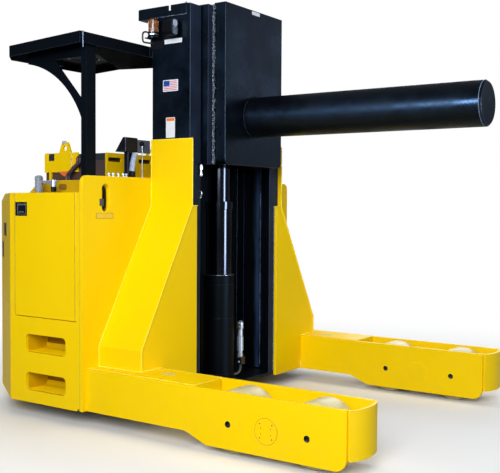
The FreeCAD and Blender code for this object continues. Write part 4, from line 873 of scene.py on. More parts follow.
# %% [markdown]
# ## Labels and plates
# The truck wears vinyl labels and small plates. They carry no words here: a label is a thin plate with
# rounded corners and its own colour, standing half a millimetre proud, so it catches a fine edge of
# light as vinyl does. The striped one is a grid of coloured cells on one plate.

# %% Vinyl in its colours
make_finish("vinyl_white", (228, 233, 240), cloud=0.04, cloud_scale=30.0, roughness=0.4, bump=0.04)
make_finish("vinyl_red", (212, 112, 134), cloud=0.08, cloud_scale=30.0, roughness=0.4, bump=0.04)
make_finish("vinyl_blue", (34, 96, 226), cloud=0.08, cloud_scale=30.0, roughness=0.4, bump=0.04)
make_finish("vinyl_orange", (240, 120, 24), cloud=0.06, cloud_scale=30.0, roughness=0.45, bump=0.04)
make_finish("vinyl_yellow", (236, 196, 8), cloud=0.05, cloud_scale=30.0, roughness=0.5, bump=0.04)
make_finish("vinyl_dark", (14, 13, 14), edge=(70, 76, 88), cloud=0.2, cloud_scale=90.0, roughness=0.5,
            grain=1.0, grain_scale=500.0, bump=0.3)
make_finish("knurled_rubber", (60, 62, 60), cloud=0.5, cloud_scale=220.0, roughness=0.65, grain=1.0,
            grain_scale=400.0, bump=0.6, depth=0.001)


def label(name, origin, across, upward, width, height, finish, corner=4.0, thick=0.6, cells=None):
    """A rounded plate in millimetres. origin is its lower left corner on the surface it lies on."""
    origin, across, upward = Vector(origin), Vector(across).normalized(), Vector(upward).normalized()
    out = across.cross(upward).normalized()
    rim = []
    for cx, cy, start in ((width - corner, corner, -90), (width - corner, height - corner, 0),
                          (corner, height - corner, 90), (corner, corner, 180)):
        for k in range(5):
            a = math.radians(start + 22.5 * k)
            rim.append((cx + corner * math.cos(a), cy + corner * math.sin(a)))
    shape = bmesh.new()
    low = [shape.verts.new((origin + across * u + upward * v) / 1000) for u, v in rim]
    high = [shape.verts.new((origin + across * u + upward * v + out * thick) / 1000) for u, v in rim]
    shape.faces.new(low[::-1])
    shape.faces.new(high)
    for k in range(len(rim)):
        n = (k + 1) % len(rim)
        shape.faces.new((low[k], low[n], high[n], high[k]))
    mesh = mesh_of(shape, name)
    mesh.materials.append(finishes[finish])
    parts = [mesh]
    for u0, v0, u1, v1, cell_finish in cells or []:
        parts.append(label(name + "_cell", origin + across * u0 + upward * v0 + out * thick, across, upward,
                           u1 - u0, v1 - v0, cell_finish, corner=0.5, thick=0.25))
    return join_meshes(name, parts) if cells else mesh


# %% Labels on the mast's right face
right, front_way, vertical = (1, 0, 0), (0, 1, 0), (0, 0, 1)
mast_face = -593.0
band_cells = [(6, v, 132, v + 6.2, "vinyl_red") for v in (7, 19.4, 31.8, 44.2, 56.6, 69)]
band_cells.append((6, 40, 62, 78, "vinyl_blue"))
mast_labels = [
    label("top_label", (-458, mast_face, 2708), right, vertical, 165, 33, "vinyl_white"),
    label("striped_label", (-471, mast_face, 2361), right, vertical, 142, 84, "vinyl_white", cells=band_cells),
    label("notice_label", (-442, mast_face, 2022), right, vertical, 85, 149, "vinyl_white",
          cells=[(5, 122, 80, 144, "vinyl_orange")]),
]
keep_object("mast_labels", join_meshes("mast_labels", mast_labels), "root", "frame_black")

# %% Labels on the yellow body
brace_x = -574
make_finish("seam_brown", (104, 80, 6), cloud=0.3, cloud_scale=90.0, roughness=0.6, bump=0.05)
make_finish("vinyl_faded", (216, 200, 120), cloud=0.5, cloud_scale=160.0, roughness=0.6, bump=0.1)
notice_edge = [(brace_x + 0.7, y, z) for y, z in
               ((-1182, 1432), (-1014, 1432), (-1014, 1469), (-1182, 1469), (-1182, 1432))]
body_labels = [
    label("slot_notice", (brace_x, -1182, 1432), front_way, vertical, 168, 37, "vinyl_yellow", corner=3),
    label("grip_patch", (brace_x, -1149, 1519), front_way, vertical, 38, 50, "knurled_rubber", corner=3, thick=3),
    groove(notice_edge, 1.2, "seam_brown"),
]
body_labels += [label("oval", (-68, y, 400), right, front_way, 120, 56, "vinyl_faded", corner=27.9)
                for y in (-1103, 1047)]
keep_object("body_labels", join_meshes("body_labels", body_labels), "root", "body_yellow")


# %% Black crescents painted as shade inside the lifting slots
def rod_of_shape(name, outline, along, finish, cut_ends=False):
    """A straight bar whose end is outline, points in millimetres, drawn out by the vector along.

    A slim outline that hooks inwards has its ends cut into triangles, or they would fill its hollow.
    """
    shape = bmesh.new()
    near = [shape.verts.new(Vector(p) / 1000) for p in outline]
    far = [shape.verts.new((Vector(p) + Vector(along)) / 1000) for p in outline]
    ends = [shape.faces.new(near), shape.faces.new(far)]
    for k in range(len(near)):
        n = (k + 1) % len(near)
        shape.faces.new((near[k], near[n], far[n], far[k]))
    if cut_ends:
        bmesh.ops.triangulate(shape, faces=ends)
    bmesh.ops.recalc_face_normals(shape, faces=shape.faces)
    mesh = mesh_of(shape, name)
    mesh.materials.append(finishes[finish])
    return mesh


hooked_inner = [(-1113, 1477), (-1106, 1490), (-1094, 1500), (-1086, 1520), (-1082, 1560), (-1082, 1590),
                (-1086, 1632), (-1094, 1652), (-1106, 1662), (-1113, 1673)]
hooked_outer = [(-1098, 1473), (-1084, 1482), (-1066, 1500), (-1054, 1530), (-1052, 1575), (-1054, 1622),
                (-1066, 1652), (-1084, 1668), (-1098, 1677)]
# Thin black hooked plates behind each slot's front face: painted shade, the dark seen through the slot.
slot_shade_crescents = [rod_of_shape("slot_shade_crescent", [(-605.5, -sign * y, z) for y, z in hooked_inner + hooked_outer[::-1]],
                          (-4, 0, 0), "console_black", cut_ends=True) for sign in (1, -1)]
keep_object("slot_shade_crescents", join_meshes("slot_shade_crescents", slot_shade_crescents), "root", "black_plastic")

# %% Plates on the carriage and the rear corner
head_label = label("head_label", (-55, -45, 2979), front_way, vertical, 105, 27, "vinyl_white", corner=3)
keep_object("head_label", head_label, "carriage", "frame_black")
corner_way = Vector((465, -307, 0)).normalized()
corner_spot = Vector((-1773, -1008, 0))
rear_plates = [
    label("rear_plate_1", corner_spot + corner_way * 175 + Vector((0, 0, 1290)), corner_way, vertical, 150, 96,
          "vinyl_dark", corner=6, thick=1.5),
    label("rear_plate_2", corner_spot + corner_way * 60 + Vector((0, 0, 1120)), corner_way, vertical, 80, 120,
          "vinyl_dark", corner=6, thick=1.5),
]
keep_object("rear_plates", join_meshes("rear_plates", rear_plates), "root", "black_plastic")
print("labels done")

# %% [markdown]
# ## Beacon and work light
# The beacon is an amber dome over a black base, and its wall is fluted inside to scatter the flash. The
# flutes repeat, so a Geometry Nodes tree sets slats round the dome. The work light has a rounded
# black shell with a dark moulded lens, a pale painted highlight on its top and pale ribs across it,
# set by the same tree along a straight line.

# %% A tree that sets slats along a line
slat_tree, t_in, t_out = new_tree("slats", [
    ("Count", "Int", 12), ("Slat Size", "Vector", (0.01, 0.01, 0.01)), ("Round", "Bool", False),
    ("Finish", "Material", None)])
guide = add_node(slat_tree, "GeometryNodeMeshToCurve", Mesh=t_in.outputs["Geometry"])
counted = add_node(slat_tree, "GeometryNodeResampleCurve", {"mode": "COUNT"}, Curve=guide.outputs["Curve"],
                   Count=t_in.outputs["Count"])
bar = add_node(slat_tree, "GeometryNodeMeshCube", Size=(1.0, 1.0, 1.0))
disc = add_node(slat_tree, "GeometryNodeMeshCylinder", Vertices=20, Radius=0.5, Depth=1.0)
laid_over = add_node(slat_tree, "GeometryNodeTransform", Geometry=disc.outputs["Mesh"],
                     Rotation=(0.0, math.pi / 2, 0.0))
either = add_node(slat_tree, "GeometryNodeSwitch", {"input_type": "GEOMETRY"}, Switch=t_in.outputs["Round"],
                  **{"False": bar.outputs["Mesh"], "True": laid_over.outputs["Geometry"]})
slats_set = add_node(slat_tree, "GeometryNodeInstanceOnPoints", Points=counted.outputs["Curve"],
                     Instance=either.outputs["Output"], Rotation=along_line(slat_tree),
                     Scale=t_in.outputs["Slat Size"])
end_tree(slat_tree, slats_set, t_in, t_out)


def slats(name, line, count, size, finish, round_bar=False):
    """count slats of that size in millimetres (along, across, up) on a line of points."""
    return run_tree(slat_tree, lines_mesh(name + "_line", [line]), {
        "Count": count, "Slat Size": [v / 1000 for v in size], "Round": round_bar,
        "Finish": finishes[finish]}, name)


# %% Beacon
low, high = (v * 1000 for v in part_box("beacon"))
beacon_x, beacon_y, foot = (low.x + high.x) / 2, (low.y + high.y) / 2, low.z
beacon_axis = (beacon_x, beacon_y, 0)
make_finish("amber_deep", (70, 30, 2), edge=(150, 80, 10), cloud=0.35, cloud_scale=60.0, roughness=0.18,
            coat=0.6, bump=0.05)
make_finish("amber_bright", (196, 128, 16), cloud=0.5, cloud_scale=70.0, roughness=0.15, coat=0.6, bump=0.05)
dome = lathe("dome", [(foot + 37, 36.0), (foot + 39, 36.5), (foot + 120, 34.5), (foot + 132, 31.0),
                      (foot + 140, 22.0), (foot + 144, 10.0), (foot + 145, 0.0)], "z", beacon_axis,
             "amber_deep", steps=48)
flutes, band, band_low = [
    slats(name, circle_points("z", (beacon_x, beacon_y, foot + up), 34.8, 36), count, size, finish)
    for name, up, count, size, finish in (
        ("flutes", 83, 37, (3.2, 4.6, 84), "amber_lens"),
        ("flute_band", 110, 19, (2.6, 6.4, 18), "amber_bright"),
        ("flute_band_low", 60, 13, (2.4, 6.2, 26), "amber_bright"))]
keep_object("beacon_dome", join_meshes("beacon_dome", [dome, flutes, band, band_low]), "root", "amber_lens",
            "beacon")
base = lathe("base", [(foot, 0.0), (foot, 40.0), (foot + 4, 42.0), (foot + 10, 42.0), (foot + 14, 38.0),
                      (foot + 30, 37.0), (foot + 32, 39.5), (foot + 37, 39.5), (foot + 38, 36.0),
                      (foot + 38, 0.0)], "z", beacon_axis, "lamp_black", steps=40)
clip = lathe("clip", [(foot + 18, 38.0), (foot + 18, 40.5), (foot + 27, 40.5), (foot + 27, 38.0)], "z",
             beacon_axis, "zinc_plate", steps=40)
keep_object("beacon_base", join_meshes("beacon_base", [base, clip]), "root", "lamp_black", "beacon")
beacon_screws = [((beacon_x + 33, beacon_y - 33, foot), (0, 0, 1)),
                 ((beacon_x - 33, beacon_y + 33, foot), (0, 0, 1)),
                 ((beacon_x - 20, -694.5, foot - 3), (0, -1, 0)), ((beacon_x + 26, -694.5, foot - 3), (0, -1, 0))]
screws("beacon_screws", beacon_screws, 3.6, 2.4, "zinc_plate", "root", "lamp_black")

# %% Work light lens
low, high = (v * 1000 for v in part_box("work_light"))
make_finish("clear_lens", (58, 70, 92), cloud=0.6, cloud_scale=26.0, roughness=0.16, coat=0.5, wave=1.0,
            wave_scale=120.0, bump=0.3, specular=0.8)
# A pale colour painted as the highlight on the lens's top; the ribs share it.
make_finish("lens_pale_highlight", (190, 206, 228), cloud=0.35, cloud_scale=36.0, roughness=0.18, coat=0.5, bump=0.1)
middle_y = -650.0
lens_low, lens_high = low.z + 7, high.z - 7
lens = label("lens", (high.x, middle_y - 29, lens_low), front_way, vertical, 58, lens_high - lens_low,
             "clear_lens", corner=26, thick=2.0)
# A pale patch on the upper lens: a painted highlight.
lens_highlight_patch = label("lens_highlight_patch", (high.x + 2, middle_y - 22, lens_low + 62), front_way, vertical, 44, 46,
                 "lens_pale_highlight", corner=18, thick=0.5)
ribs = slats("lens_ribs", [(high.x + 2.2, middle_y, lens_low + 12), (high.x + 2.2, middle_y, lens_high - 12)], 11,
             (2.0, 46, 0.9), "lens_pale_highlight")
frame_ring = [(high.x + 0.6, middle_y + 31.5 * math.copysign(abs(math.cos(a)) ** 0.55, math.cos(a)),
               (low.z + high.z) / 2 + 60.5 * math.copysign(abs(math.sin(a)) ** 0.55, math.sin(a)))
              for a in (k / 40 * math.tau for k in range(40))]
bezel = groove(frame_ring + frame_ring[:1], 1.1, "lamp_black")
keep_object("work_light_lens", join_meshes("work_light_lens", [lens, lens_highlight_patch, ribs, bezel]), "root", "lamp_black")
print("lamps done")

# %% [markdown]
# ## Load wheels and steel parts
# Each load wheel is a cream polyurethane tread cast on a steel hub. The tread is turned on a lathe, so
# it carries fine rings; a profile spun round the axle gives that shape, and a finish whose grain runs
# across the width gives the rings. The wheel spins, so each one is a piece of its own body.

# %% A finish for the turned treads
finishes["turned_polyurethane"], tree = new_material("turned_polyurethane")
where = add_node(tree, "ShaderNodeTexCoord").outputs["Object"]
stretched = add_node(tree, "ShaderNodeMapping", Vector=where, Scale=(1.2, 42.0, 1.2))
lines_noise = add_node(tree, "ShaderNodeTexNoise", Vector=stretched.outputs[0], Scale=3.0, Detail=6.0,
                       Roughness=0.7)
fine = add_node(tree, "ShaderNodeMapRange", Value=lines_noise.outputs[0], From_Min=0.3, From_Max=0.7)
cream = mix_colors(tree, fine.outputs[0], linear(190, 175, 114), linear(230, 221, 170))
grimy = use_group(tree, dust, Color=cream, Amount=0.5, Height=0.12, Vector=where)
faced = use_group(tree, skin, Roughness=0.42, Spread=0.08, Wave=0.2, Vector=where)
bumped = add_node(tree, "ShaderNodeBump", Strength=0.12, Distance=0.0008, Height=lines_noise.outputs[0])
surface = add_node(tree, "ShaderNodeBsdfPrincipled", Base_Color=grimy.outputs["Color"],
                   Roughness=faced.outputs["Roughness"], Normal=bumped.outputs["Normal"])
add_node(tree, "ShaderNodeOutputMaterial", Surface=surface.outputs[0])
print("tread finish made")


# %% Wheels
def both_ends(half, profile):
    """A profile given as (distance from one face, radius), run to the other face as its mirror."""
    return [(-half + d, r) for d, r in profile] + [(half - d, r) for d, r in profile[::-1]]


tread_end = [(6, 132), (0, 136), (0, 182), (2, 188), (7, 193), (14, 195.8)]
hub_end = [(8, 25.4), (3, 27), (3, 52), (16, 56), (16, 120), (7, 126), (7, 132)]
for node in ["right_front_load_wheel", "right_rear_load_wheel", "left_front_load_wheel", "left_rear_load_wheel"]:
    low, high = (v * 1000 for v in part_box(node))
    half = (high.y - low.y) / 2
    centre = ((low.x + high.x) / 2, (low.y + high.y) / 2, axle_z)
    tread = lathe("tread", both_ends(half, tread_end), "y", centre, "turned_polyurethane", steps=96)
    hub = lathe("hub", both_ends(half, hub_end), "y", centre, "machined_steel", steps=48)
    keep_object(node + "_soft", join_meshes(node + "_soft", [tread, hub]), body_of_node[node],
                "cream_polyurethane", node)
print("load wheels done")

# %% [markdown]
# ## Fittings beside the lift cylinder
# A lowering valve stands beside the barrel with a braided hose, and a black elbow feeds the barrel's
# foot. A stop bolt and a small hook are fixed to the front of the right mast rail. They are turned
# parts: a profile and an axis say all of their shape.

# %% Valve with its braid, elbow and feet
def hose(name, points, radius, finish):
    """A smooth tube through points in millimetres."""
    return tube(name, points, radius, finish, "NURBS", 5)


make_finish("rubber_hose", (22, 24, 30), edge=(60, 64, 72), cloud=0.2, cloud_scale=60.0, roughness=0.5,
            grain=1.0, grain_scale=900.0, bump=0.3)
vx, vy = -296.0, 168.0
valve_axis, inlet_axis = (vx, vy, 0), (-330, 100, 0)
valve = lathe("valve", [(300, 0), (300, 22), (336, 22), (338, 17), (352, 17), (354, 24), (470, 24), (474, 20),
                        (536, 20), (538, 25), (572, 26), (586, 24), (596, 17), (600, 8), (600, 0)], "z",
              valve_axis, "cast_silver", steps=24)
braid = slats("braid", [(vx, vy, 358), (vx, vy, 466)], 22, (2.8, 53, 53), "cast_silver", round_bar=True)
arm = label("valve_arm", (-290, 96, 540), front_way, vertical, 46, 62, "moulded_black", corner=6, thick=16)
arm_bolts = [lathe("arm_bolt", [(-274, 0), (-274, 9), (-266, 9), (-264, 6), (-264, 0)], "x", (0, y, z),
                   "cast_silver", steps=6) for y, z in ((118, 588), (124, 556), (112, 276))]
bracket_foot = label("bracket_foot", (vx + 8, vy - 27, 248), front_way, vertical, 54, 62, "moulded_black",
                     corner=5, thick=20)
elbow = hose("elbow", [(-330, 98, 170), (-318, 116, 170), (vx - 8, vy - 20, 176), (vx, vy, 200), (vx, vy, 250),
                       (vx, vy, 314)], 14, "rubber_hose")
union = lathe("union", [(158, 0), (158, 21), (182, 21), (184, 17), (184, 0)], "z", inlet_axis, "moulded_black",
              steps=6)
nut = lathe("nut", [(284, 0), (284, 22), (308, 22), (312, 18), (312, 0)], "z", valve_axis, "moulded_black",
            steps=6)
foot_plate = lathe("foot_plate", [(140.2, 0), (140.2, 26), (150, 26), (152, 24), (152, 0)], "z", inlet_axis,
                   "moulded_black", steps=20)
feed_hose = hose("feed", [(-330, 100, 150), (-330, 100, 164), (-332, 98, 172)], 10, "rubber_hose")
valve_parts = [valve, braid, bracket_foot, elbow, union, nut, foot_plate, feed_hose, arm, *arm_bolts]
keep_object("lift_valve", join_meshes("lift_valve", valve_parts), "root", "roller_steel")

# %% Stop bolt and hook on the rail
stop = lathe("stop", [(1738, 0), (1738, 9), (1746, 12), (1746, 14), (1772, 14), (1774, 9), (1790, 9), (1790, 16),
                      (1816, 16), (1818, 12), (1824, 12), (1824, 0)], "z", (-202, -482, 0), "zinc_plate", steps=12)
stop_tab = label("stop_tab", (-216.5, -494, 1800), front_way, vertical, 24, 34, "black_enamel", corner=3, thick=12)
hook = hose("hook", [(-217, -482, 1632), (-200, -482, 1634), (-192, -482, 1612), (-204, -482, 1596),
                     (-206, -482, 1580)], 5, "zinc_plate")
keep_object("rail_fittings", join_meshes("rail_fittings", [stop, stop_tab, hook]), "root", "roller_steel")

# %% Rings of the cylinder
rim = groove(circle_points("z", (barrel_x, 0, 979.4), 121.2, 48), 1.2, "zinc_plate")
seal = lathe("seal", [(979, 119), (984, 112), (984, 105.4), (979, 105.4)], "z", (barrel_x, 0, 0), "dark_socket",
             steps=48)
marks = [groove(circle_points("z", (barrel_x, 0, z), 122, 48), 0.8, "dark_socket") for z in (200.0, 640.0, 905.0)]
keep_object("barrel_rings", join_meshes("barrel_rings", [rim, seal, *marks]), "root", "frame_black")
print("fittings done")

# %% [markdown]
# ## Inside the cab
# The console, the levers, the screen, the leaning post and the latch are small, so each gets its own
# parts: a ribbed grip with a ball-topped lever beside it, chrome switches, and a cast handle. Ribs
# round a grip repeat along a line, so the slat tree makes them from round discs.

# %% Loose islands of a node's mesh
def islands(node):
    """The node's merged mesh taken apart: (lowest corner, highest corner, mesh) each, in millimetres."""
    whole = bmesh.new()
    whole.from_mesh(merged_copy(node))
    whole.faces.ensure_lookup_table()
    seen_faces, found = set(), []
    for start in whole.faces:
        if start.index in seen_faces:
            continue
        group, waiting = [], [start]
        seen_faces.add(start.index)
        while waiting:
            face = waiting.pop()
            group.append(face)
            for other in (near for edge in face.edges for near in edge.link_faces):
                if other.index not in seen_faces:
                    seen_faces.add(other.index)
                    waiting.append(other)
        part = bmesh.new()
        copied = {}
        for face in group:
            for vert in face.verts:
                if vert not in copied:
                    copied[vert] = part.verts.new(vert.co)
            part.faces.new([copied[v] for v in face.verts])
        mesh = mesh_of(part, node + "_island")
        points = [v.co * 1000 for v in mesh.vertices]
        found.append((Vector([min(p[i] for p in points) for i in range(3)]),
                      Vector([max(p[i] for p in points) for i in range(3)]), mesh))
    whole.free()
    print(node, "has", len(found), "loose parts")
    return found


# %% Grip, lever and switches
shelf_z = 1728.0
lever_height, grip_height, grip_length = 230, 100, 130  # a loose part is told by how tall it is
lever_meshes = []
for part_low, part_high, _ in islands("control_levers"):
    middle = (part_low + part_high) / 2
    x, y, height = middle.x, middle.y, part_high.z - part_low.z
    if height > lever_height:
        lever_meshes.append(lathe("lever", [(shelf_z, 0), (shelf_z, 14), (shelf_z + 5, 14), (shelf_z + 9, 7),
                                            (shelf_z + 9, 4.2), (1952, 4.2), (1952, 8), (1966, 8), (1966, 0)],
                                  "z", (x, y, 0), "machined_steel", steps=16))
        ball = [(1982 + 18 * math.sin(a), 18 * math.cos(a)) for a in (math.pi * (k / 10 - 0.5) for k in range(11))]
        lever_meshes.append(lathe("ball", ball, "z", (x, y, 0), "console_black", steps=20))
    elif height > grip_height:
        foot = Vector((x, part_low.y + 22, 1777))
        head_end = Vector((x, part_high.y - 22, part_high.z - 3))
        way = (head_end - foot).normalized()
        bend = [tuple(foot + way * d + Vector((0, -6 * math.sin(math.pi * d / grip_length), 0)))
                for d in range(0, grip_length + 1, 10)]
        for name, size in (("grip", (3.4, 43, 43)), ("grip_core", (6.0, 39, 39))):
            lever_meshes.append(slats(name, bend, 30, size, "grip_grey", round_bar=True))
        lever_meshes.append(lathe("stem", [(shelf_z, 0), (shelf_z, 20), (shelf_z + 8, 20), (shelf_z + 14, 12),
                                           (1778, 12), (1778, 0)], "z", (x, foot.y, 0), "console_black", steps=20))
    else:
        lever_meshes.append(lathe("switch", [(shelf_z, 0), (shelf_z, 12), (shelf_z + 6, 12), (shelf_z + 7, 7),
                                             (shelf_z + 14, 7), (shelf_z + 15, 5), (shelf_z + 18, 5)],
                                  "z", (x, y, 0), "cast_silver", steps=16))
        lever_meshes.append(lathe("cap", [(shelf_z + 17, 0), (shelf_z + 17, 11), (shelf_z + 25, 10),
                                          (shelf_z + 27, 0)], "z", (x, y, 0), "cast_silver", steps=16))
keep_object("control_levers_fine", join_meshes("control_levers_fine", lever_meshes), "root", "roller_steel",
            "control_levers")

# %% Screen on its side bracket
low, high = (v * 1000 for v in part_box("control_screen"))
screen = [label("screen_plate", (high.x - 3, low.y, 1913), front_way, vertical, high.y - low.y, high.z - 1913,
                "textured_grey", corner=6, thick=3),
          label("screen_back", (low.x, high.y - 4, 1917), (0, -1, 0), vertical, high.y - low.y - 8, high.z - 1921,
                "console_black", corner=10, thick=8),
          label("screen_arm", (low.x + 1, low.y + 22, 1945), (0, -1, 0), vertical, 38, 34, "console_black",
                corner=4, thick=6)]
keep_object("control_screen_fine", join_meshes("control_screen_fine", screen), "root", "black_plastic",
            "control_screen")

# %% Leaning post and its cast handle
post_parts = []
post_height, clamp_top = 400, 1664  # only the post is taller, and the handle is black up to the clamp
for part_low, part_high, mesh in islands("rest_post"):
    if part_high.z - part_low.z > post_height:
        post_parts.append(soften(mesh, 2.0, "black_enamel", weighted=False))
        x, y = (part_low.x + part_high.x) / 2, (part_low.y + part_high.y) / 2
        post_parts.append(lathe("foot", [(720.2, 0), (720.2, 60), (728, 60), (730, 57), (730, 0)], "z", (x, y, 0),
                                "black_enamel", steps=32))
    else:
        arm = soften(mesh, 4.0, "cast_silver", weighted=False)
        arm.materials.append(finishes["console_black"])
        for face in arm.polygons:
            if face.center.z * 1000 < clamp_top:
                face.material_index = 1
        post_parts.append(arm)
keep_object("rest_post_fine", join_meshes("rest_post_fine", post_parts), "root", "frame_black", "rest_post")

# %% Door latch
low, high = (v * 1000 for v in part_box("door_latch"))
w, h = high.x - low.x, high.z - low.z
face_y = low.y
latch_parts = [label("latch_pan", (low.x + 3, face_y + 9, low.z + 3), right, vertical, w - 6, h - 6,
                     "textured_grey", corner=6, thick=1.0)]
latch_ring = [(low.x + 5, low.z + 5), (high.x - 5, low.z + 5), (high.x - 5, high.z - 5), (low.x + 5, high.z - 5)]
for a, b in zip(latch_ring, latch_ring[1:] + latch_ring[:1]):
    latch_parts.append(label("latch_bar", (min(a[0], b[0]) - 5, face_y + 8, min(a[1], b[1]) - 5), right, vertical,
                             abs(a[0] - b[0]) + 10, abs(a[1] - b[1]) + 10, "console_black", corner=4, thick=7.6))
latch_parts.append(label("paddle", (low.x + 26, face_y + 8, low.z + 16), right, vertical, w - 52, h - 40,
                         "console_black", corner=8, thick=5.5))
latch_parts.append(label("paddle_lip", (low.x + 34, face_y + 2.4, low.z + 24), right, vertical, w - 68, 8,
                         "textured_grey", corner=3, thick=1.2))
keep_object("door_latch_fine", join_meshes("door_latch_fine", latch_parts), body_of_node["door_latch"],
            "black_plastic", "door_latch")

# %% Battery leads, tags and knob
lead_parts = [soften(mesh, 2.0, "grip_grey", angle=60.0, weighted=False)
              for _, _, mesh in islands("battery_cables")]
leads = join_meshes("battery_leads", lead_parts)
for finish in ("cable_brown", "rubber_hose"):
    leads.materials.append(finishes[finish])
plug_top, plug_side = 1702, -745.5  # the grey plug is below and inside of these
split_x, split_shift, bend_top, bend_drop = -1217, 120, 1850, 90  # the cables cross over as they come down
for face in leads.polygons:
    centre = face.center * 1000
    drop = min(max((bend_top - centre.z) / bend_drop, 0.0), 1.0)
    if centre.z > plug_top or centre.y < plug_side:
        face.material_index = 2 if centre.x > split_x - split_shift * drop else 1
keep_object("battery_leads", leads, "root", "black_plastic", "battery_cables")
tag_corners = [(-1468, 1789), (-1395, 1746), (-1322, 1789)]
battery_parts = [
    label("battery_plate", (-1571, -700, 1874), right, vertical, 62, 56, "vinyl_dark", corner=5, thick=1.2),
    lathe("knob", [(2003, 0), (2003, 16), (2008, 18), (2024, 18), (2029, 12), (2029, 0)], "z", (-1400, -694, 0),
          "grip_grey", steps=20),
    slats("white_studs", [(-1310, -701, 1818), (-1310, -701, 1920)], 9, (6.5, 15, 1.6), "vinyl_white"),
    rod_of_shape("tag", [(x, -701, z) for x, z in tag_corners], (0, -1.6, 0), "vinyl_tag"),
    # A dark yellow oval on the partition: painted shade in a round dimple.
    label("dimple_shade", (-1382, -770, 1640), right, vertical, 89, 47, "yellow_seam", corner=23, thick=0.8),
]
keep_object("battery_tags", join_meshes("battery_tags", battery_parts), "root", "black_plastic")

# %% Beacon bracket and its lead
low, high = (v * 1000 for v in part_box("beacon_bracket"))
bracket_parts = [
    label("shelf", (beacon_x - 46, -696, 2746), right, front_way, 92, 103, "lamp_black", corner=5, thick=6),
    label("bracket_plate", (-589, -593, 2675), right, vertical, 126, 77, "lamp_black", corner=5, thick=6),
    hose("beacon_lead", [(beacon_x - 36, -652, 2788), (beacon_x - 62, -653, 2806), (-617, -654, 2802),
                         (low.x + 7, -654, 2768), (-616, -653, 2732), (-592, -646, 2726), (-574, -628, 2724),
                         (-566, -606, 2722), (-564, -597, 2722)], 6.6, "rubber_hose"),
]
keep_object("beacon_bracket_fine", join_meshes("beacon_bracket_fine", bracket_parts), "root", "lamp_black",
            "beacon_bracket")

# %% Ribbed floor mat
mat_base = label("mat_base", (-1330, -1262, 720), right, front_way, 660, 470, "tyre_rubber", corner=30, thick=4)
mat_ribs = slats("mat_ribs", [(-1312, -1027, 725), (-688, -1027, 725)], 34, (8, 450, 4), "tyre_rubber")
keep_object("floor_mat", join_meshes("floor_mat", [mat_base, mat_ribs]), "root", "drive_tyre")
print("cab parts done")

# %% [markdown]
# ## Painted light on the mast, and the guard's fittings
# On the inner face of each rail the black is painted brighter and bluish in a strip with soft sides,
# with a thin line down it: painted light. The strip is a thin plate whose finish fades with the distance
# from its middle line, which Object coordinates give. The rest are the nuts that anchor the lift chains,
# painted glints at the ends of the guard's slots, a painted highlight ring at the ram's rim, and a
# bead at the guard's corner drawn as a painted highlight line.

# %% Painted lit strips on the rails
# A painted light: the rail's black is made brighter and bluish in a band with soft, ragged sides.
finishes["track_painted_sheen"], tree = new_material("track_painted_sheen")
where = add_node(tree, "ShaderNodeTexCoord").outputs["Object"]
blotches = add_node(tree, "ShaderNodeMapping", Vector=where, Scale=(14.0, 14.0, 2.2))
uneven = add_node(tree, "ShaderNodeTexNoise", Vector=blotches.outputs[0], Scale=1.0, Detail=5.0, Roughness=0.6)
track_middle = 0.398  # how far the track's middle line is behind the frame's middle, in metres
lengthwise = add_node(tree, "ShaderNodeSeparateXYZ", Vector=where).outputs["X"]
from_middle = calculate(tree, "ADD", lengthwise, track_middle)
ragged = calculate(tree, "MULTIPLY_ADD", uneven.outputs[0], 0.085, calculate(tree, "ABSOLUTE", from_middle))
soft_side = add_node(tree, "ShaderNodeMapRange", {"interpolation_type": "SMOOTHSTEP"}, Value=ragged,
                     From_Min=0.03, From_Max=0.09, To_Min=1.0, To_Max=0.0)
lit_band_color = mix_colors(tree, soft_side.outputs[0], linear(2, 4, 8), linear(42, 60, 90))
surface = add_node(tree, "ShaderNodeBsdfPrincipled", Base_Color=lit_band_color, Roughness=0.5, Specular_IOR_Level=0.1)
add_node(tree, "ShaderNodeOutputMaterial", Surface=surface.outputs[0])
tracks = [label("track", (-484 if sign > 0 else -324, sign * 564.6, 150), (sign, 0, 0), vertical, 160, 2700,
                "track_painted_sheen", corner=3, thick=0.4) for sign in (-1, 1)]
# A thin bluish line painted down each band, a painted highlight.
make_finish("painted_bright_line", (84, 108, 148), cloud=0.9, cloud_scale=12.0, roughness=0.5, specular=0.1, bump=0.1)
tracks += [label("track_line", (-374 if sign > 0 else -370, sign * 564.1, 180), (sign, 0, 0), vertical, 4, 1700,
                 "painted_bright_line", corner=1, thick=0.3) for sign in (-1, 1)]
keep_object("rail_lit_strips", join_meshes("rail_lit_strips", tracks), "root", "roller_steel")
print("tracks face", tracks[0].polygons[1].normal[:])

# %% Anchor nuts, painted glints at the slot ends, the ram's highlight ring and the guard's corner bead
anchor = [lathe("anchor", [(2990, 0), (2990, 15), (3000, 15), (3001, 9), (3008, 9), (3008, 13), (3012, 13),
                           (3012, 0)], "z", (-300, y, 0), "zinc_plate", steps=6) for y in (-528, 528)]
keep_object("anchor_nuts", join_meshes("anchor_nuts", anchor), "root", "roller_steel")
# Small pale discs at the ends of the guard's slots: painted glints.
make_finish("painted_glint", (206, 220, 244), cloud=0.4, cloud_scale=120.0, roughness=0.35, metallic=0.3, bump=0.1)
slot_glints = []
for row in range(3):
    for spot in range(5):
        x, y = -723.0 - 133.0 * spot, -981.0 + 192.0 * row
        z = 2681.0 + (x + 603.0) * 38.0 / 815.0
        slot_glints.append(lathe("slot_glint", [(z - 2.5, 0), (z - 2.5, 7), (z, 9), (z, 0)], "z", (x, y + 4, 0),
                               "painted_glint", steps=10))
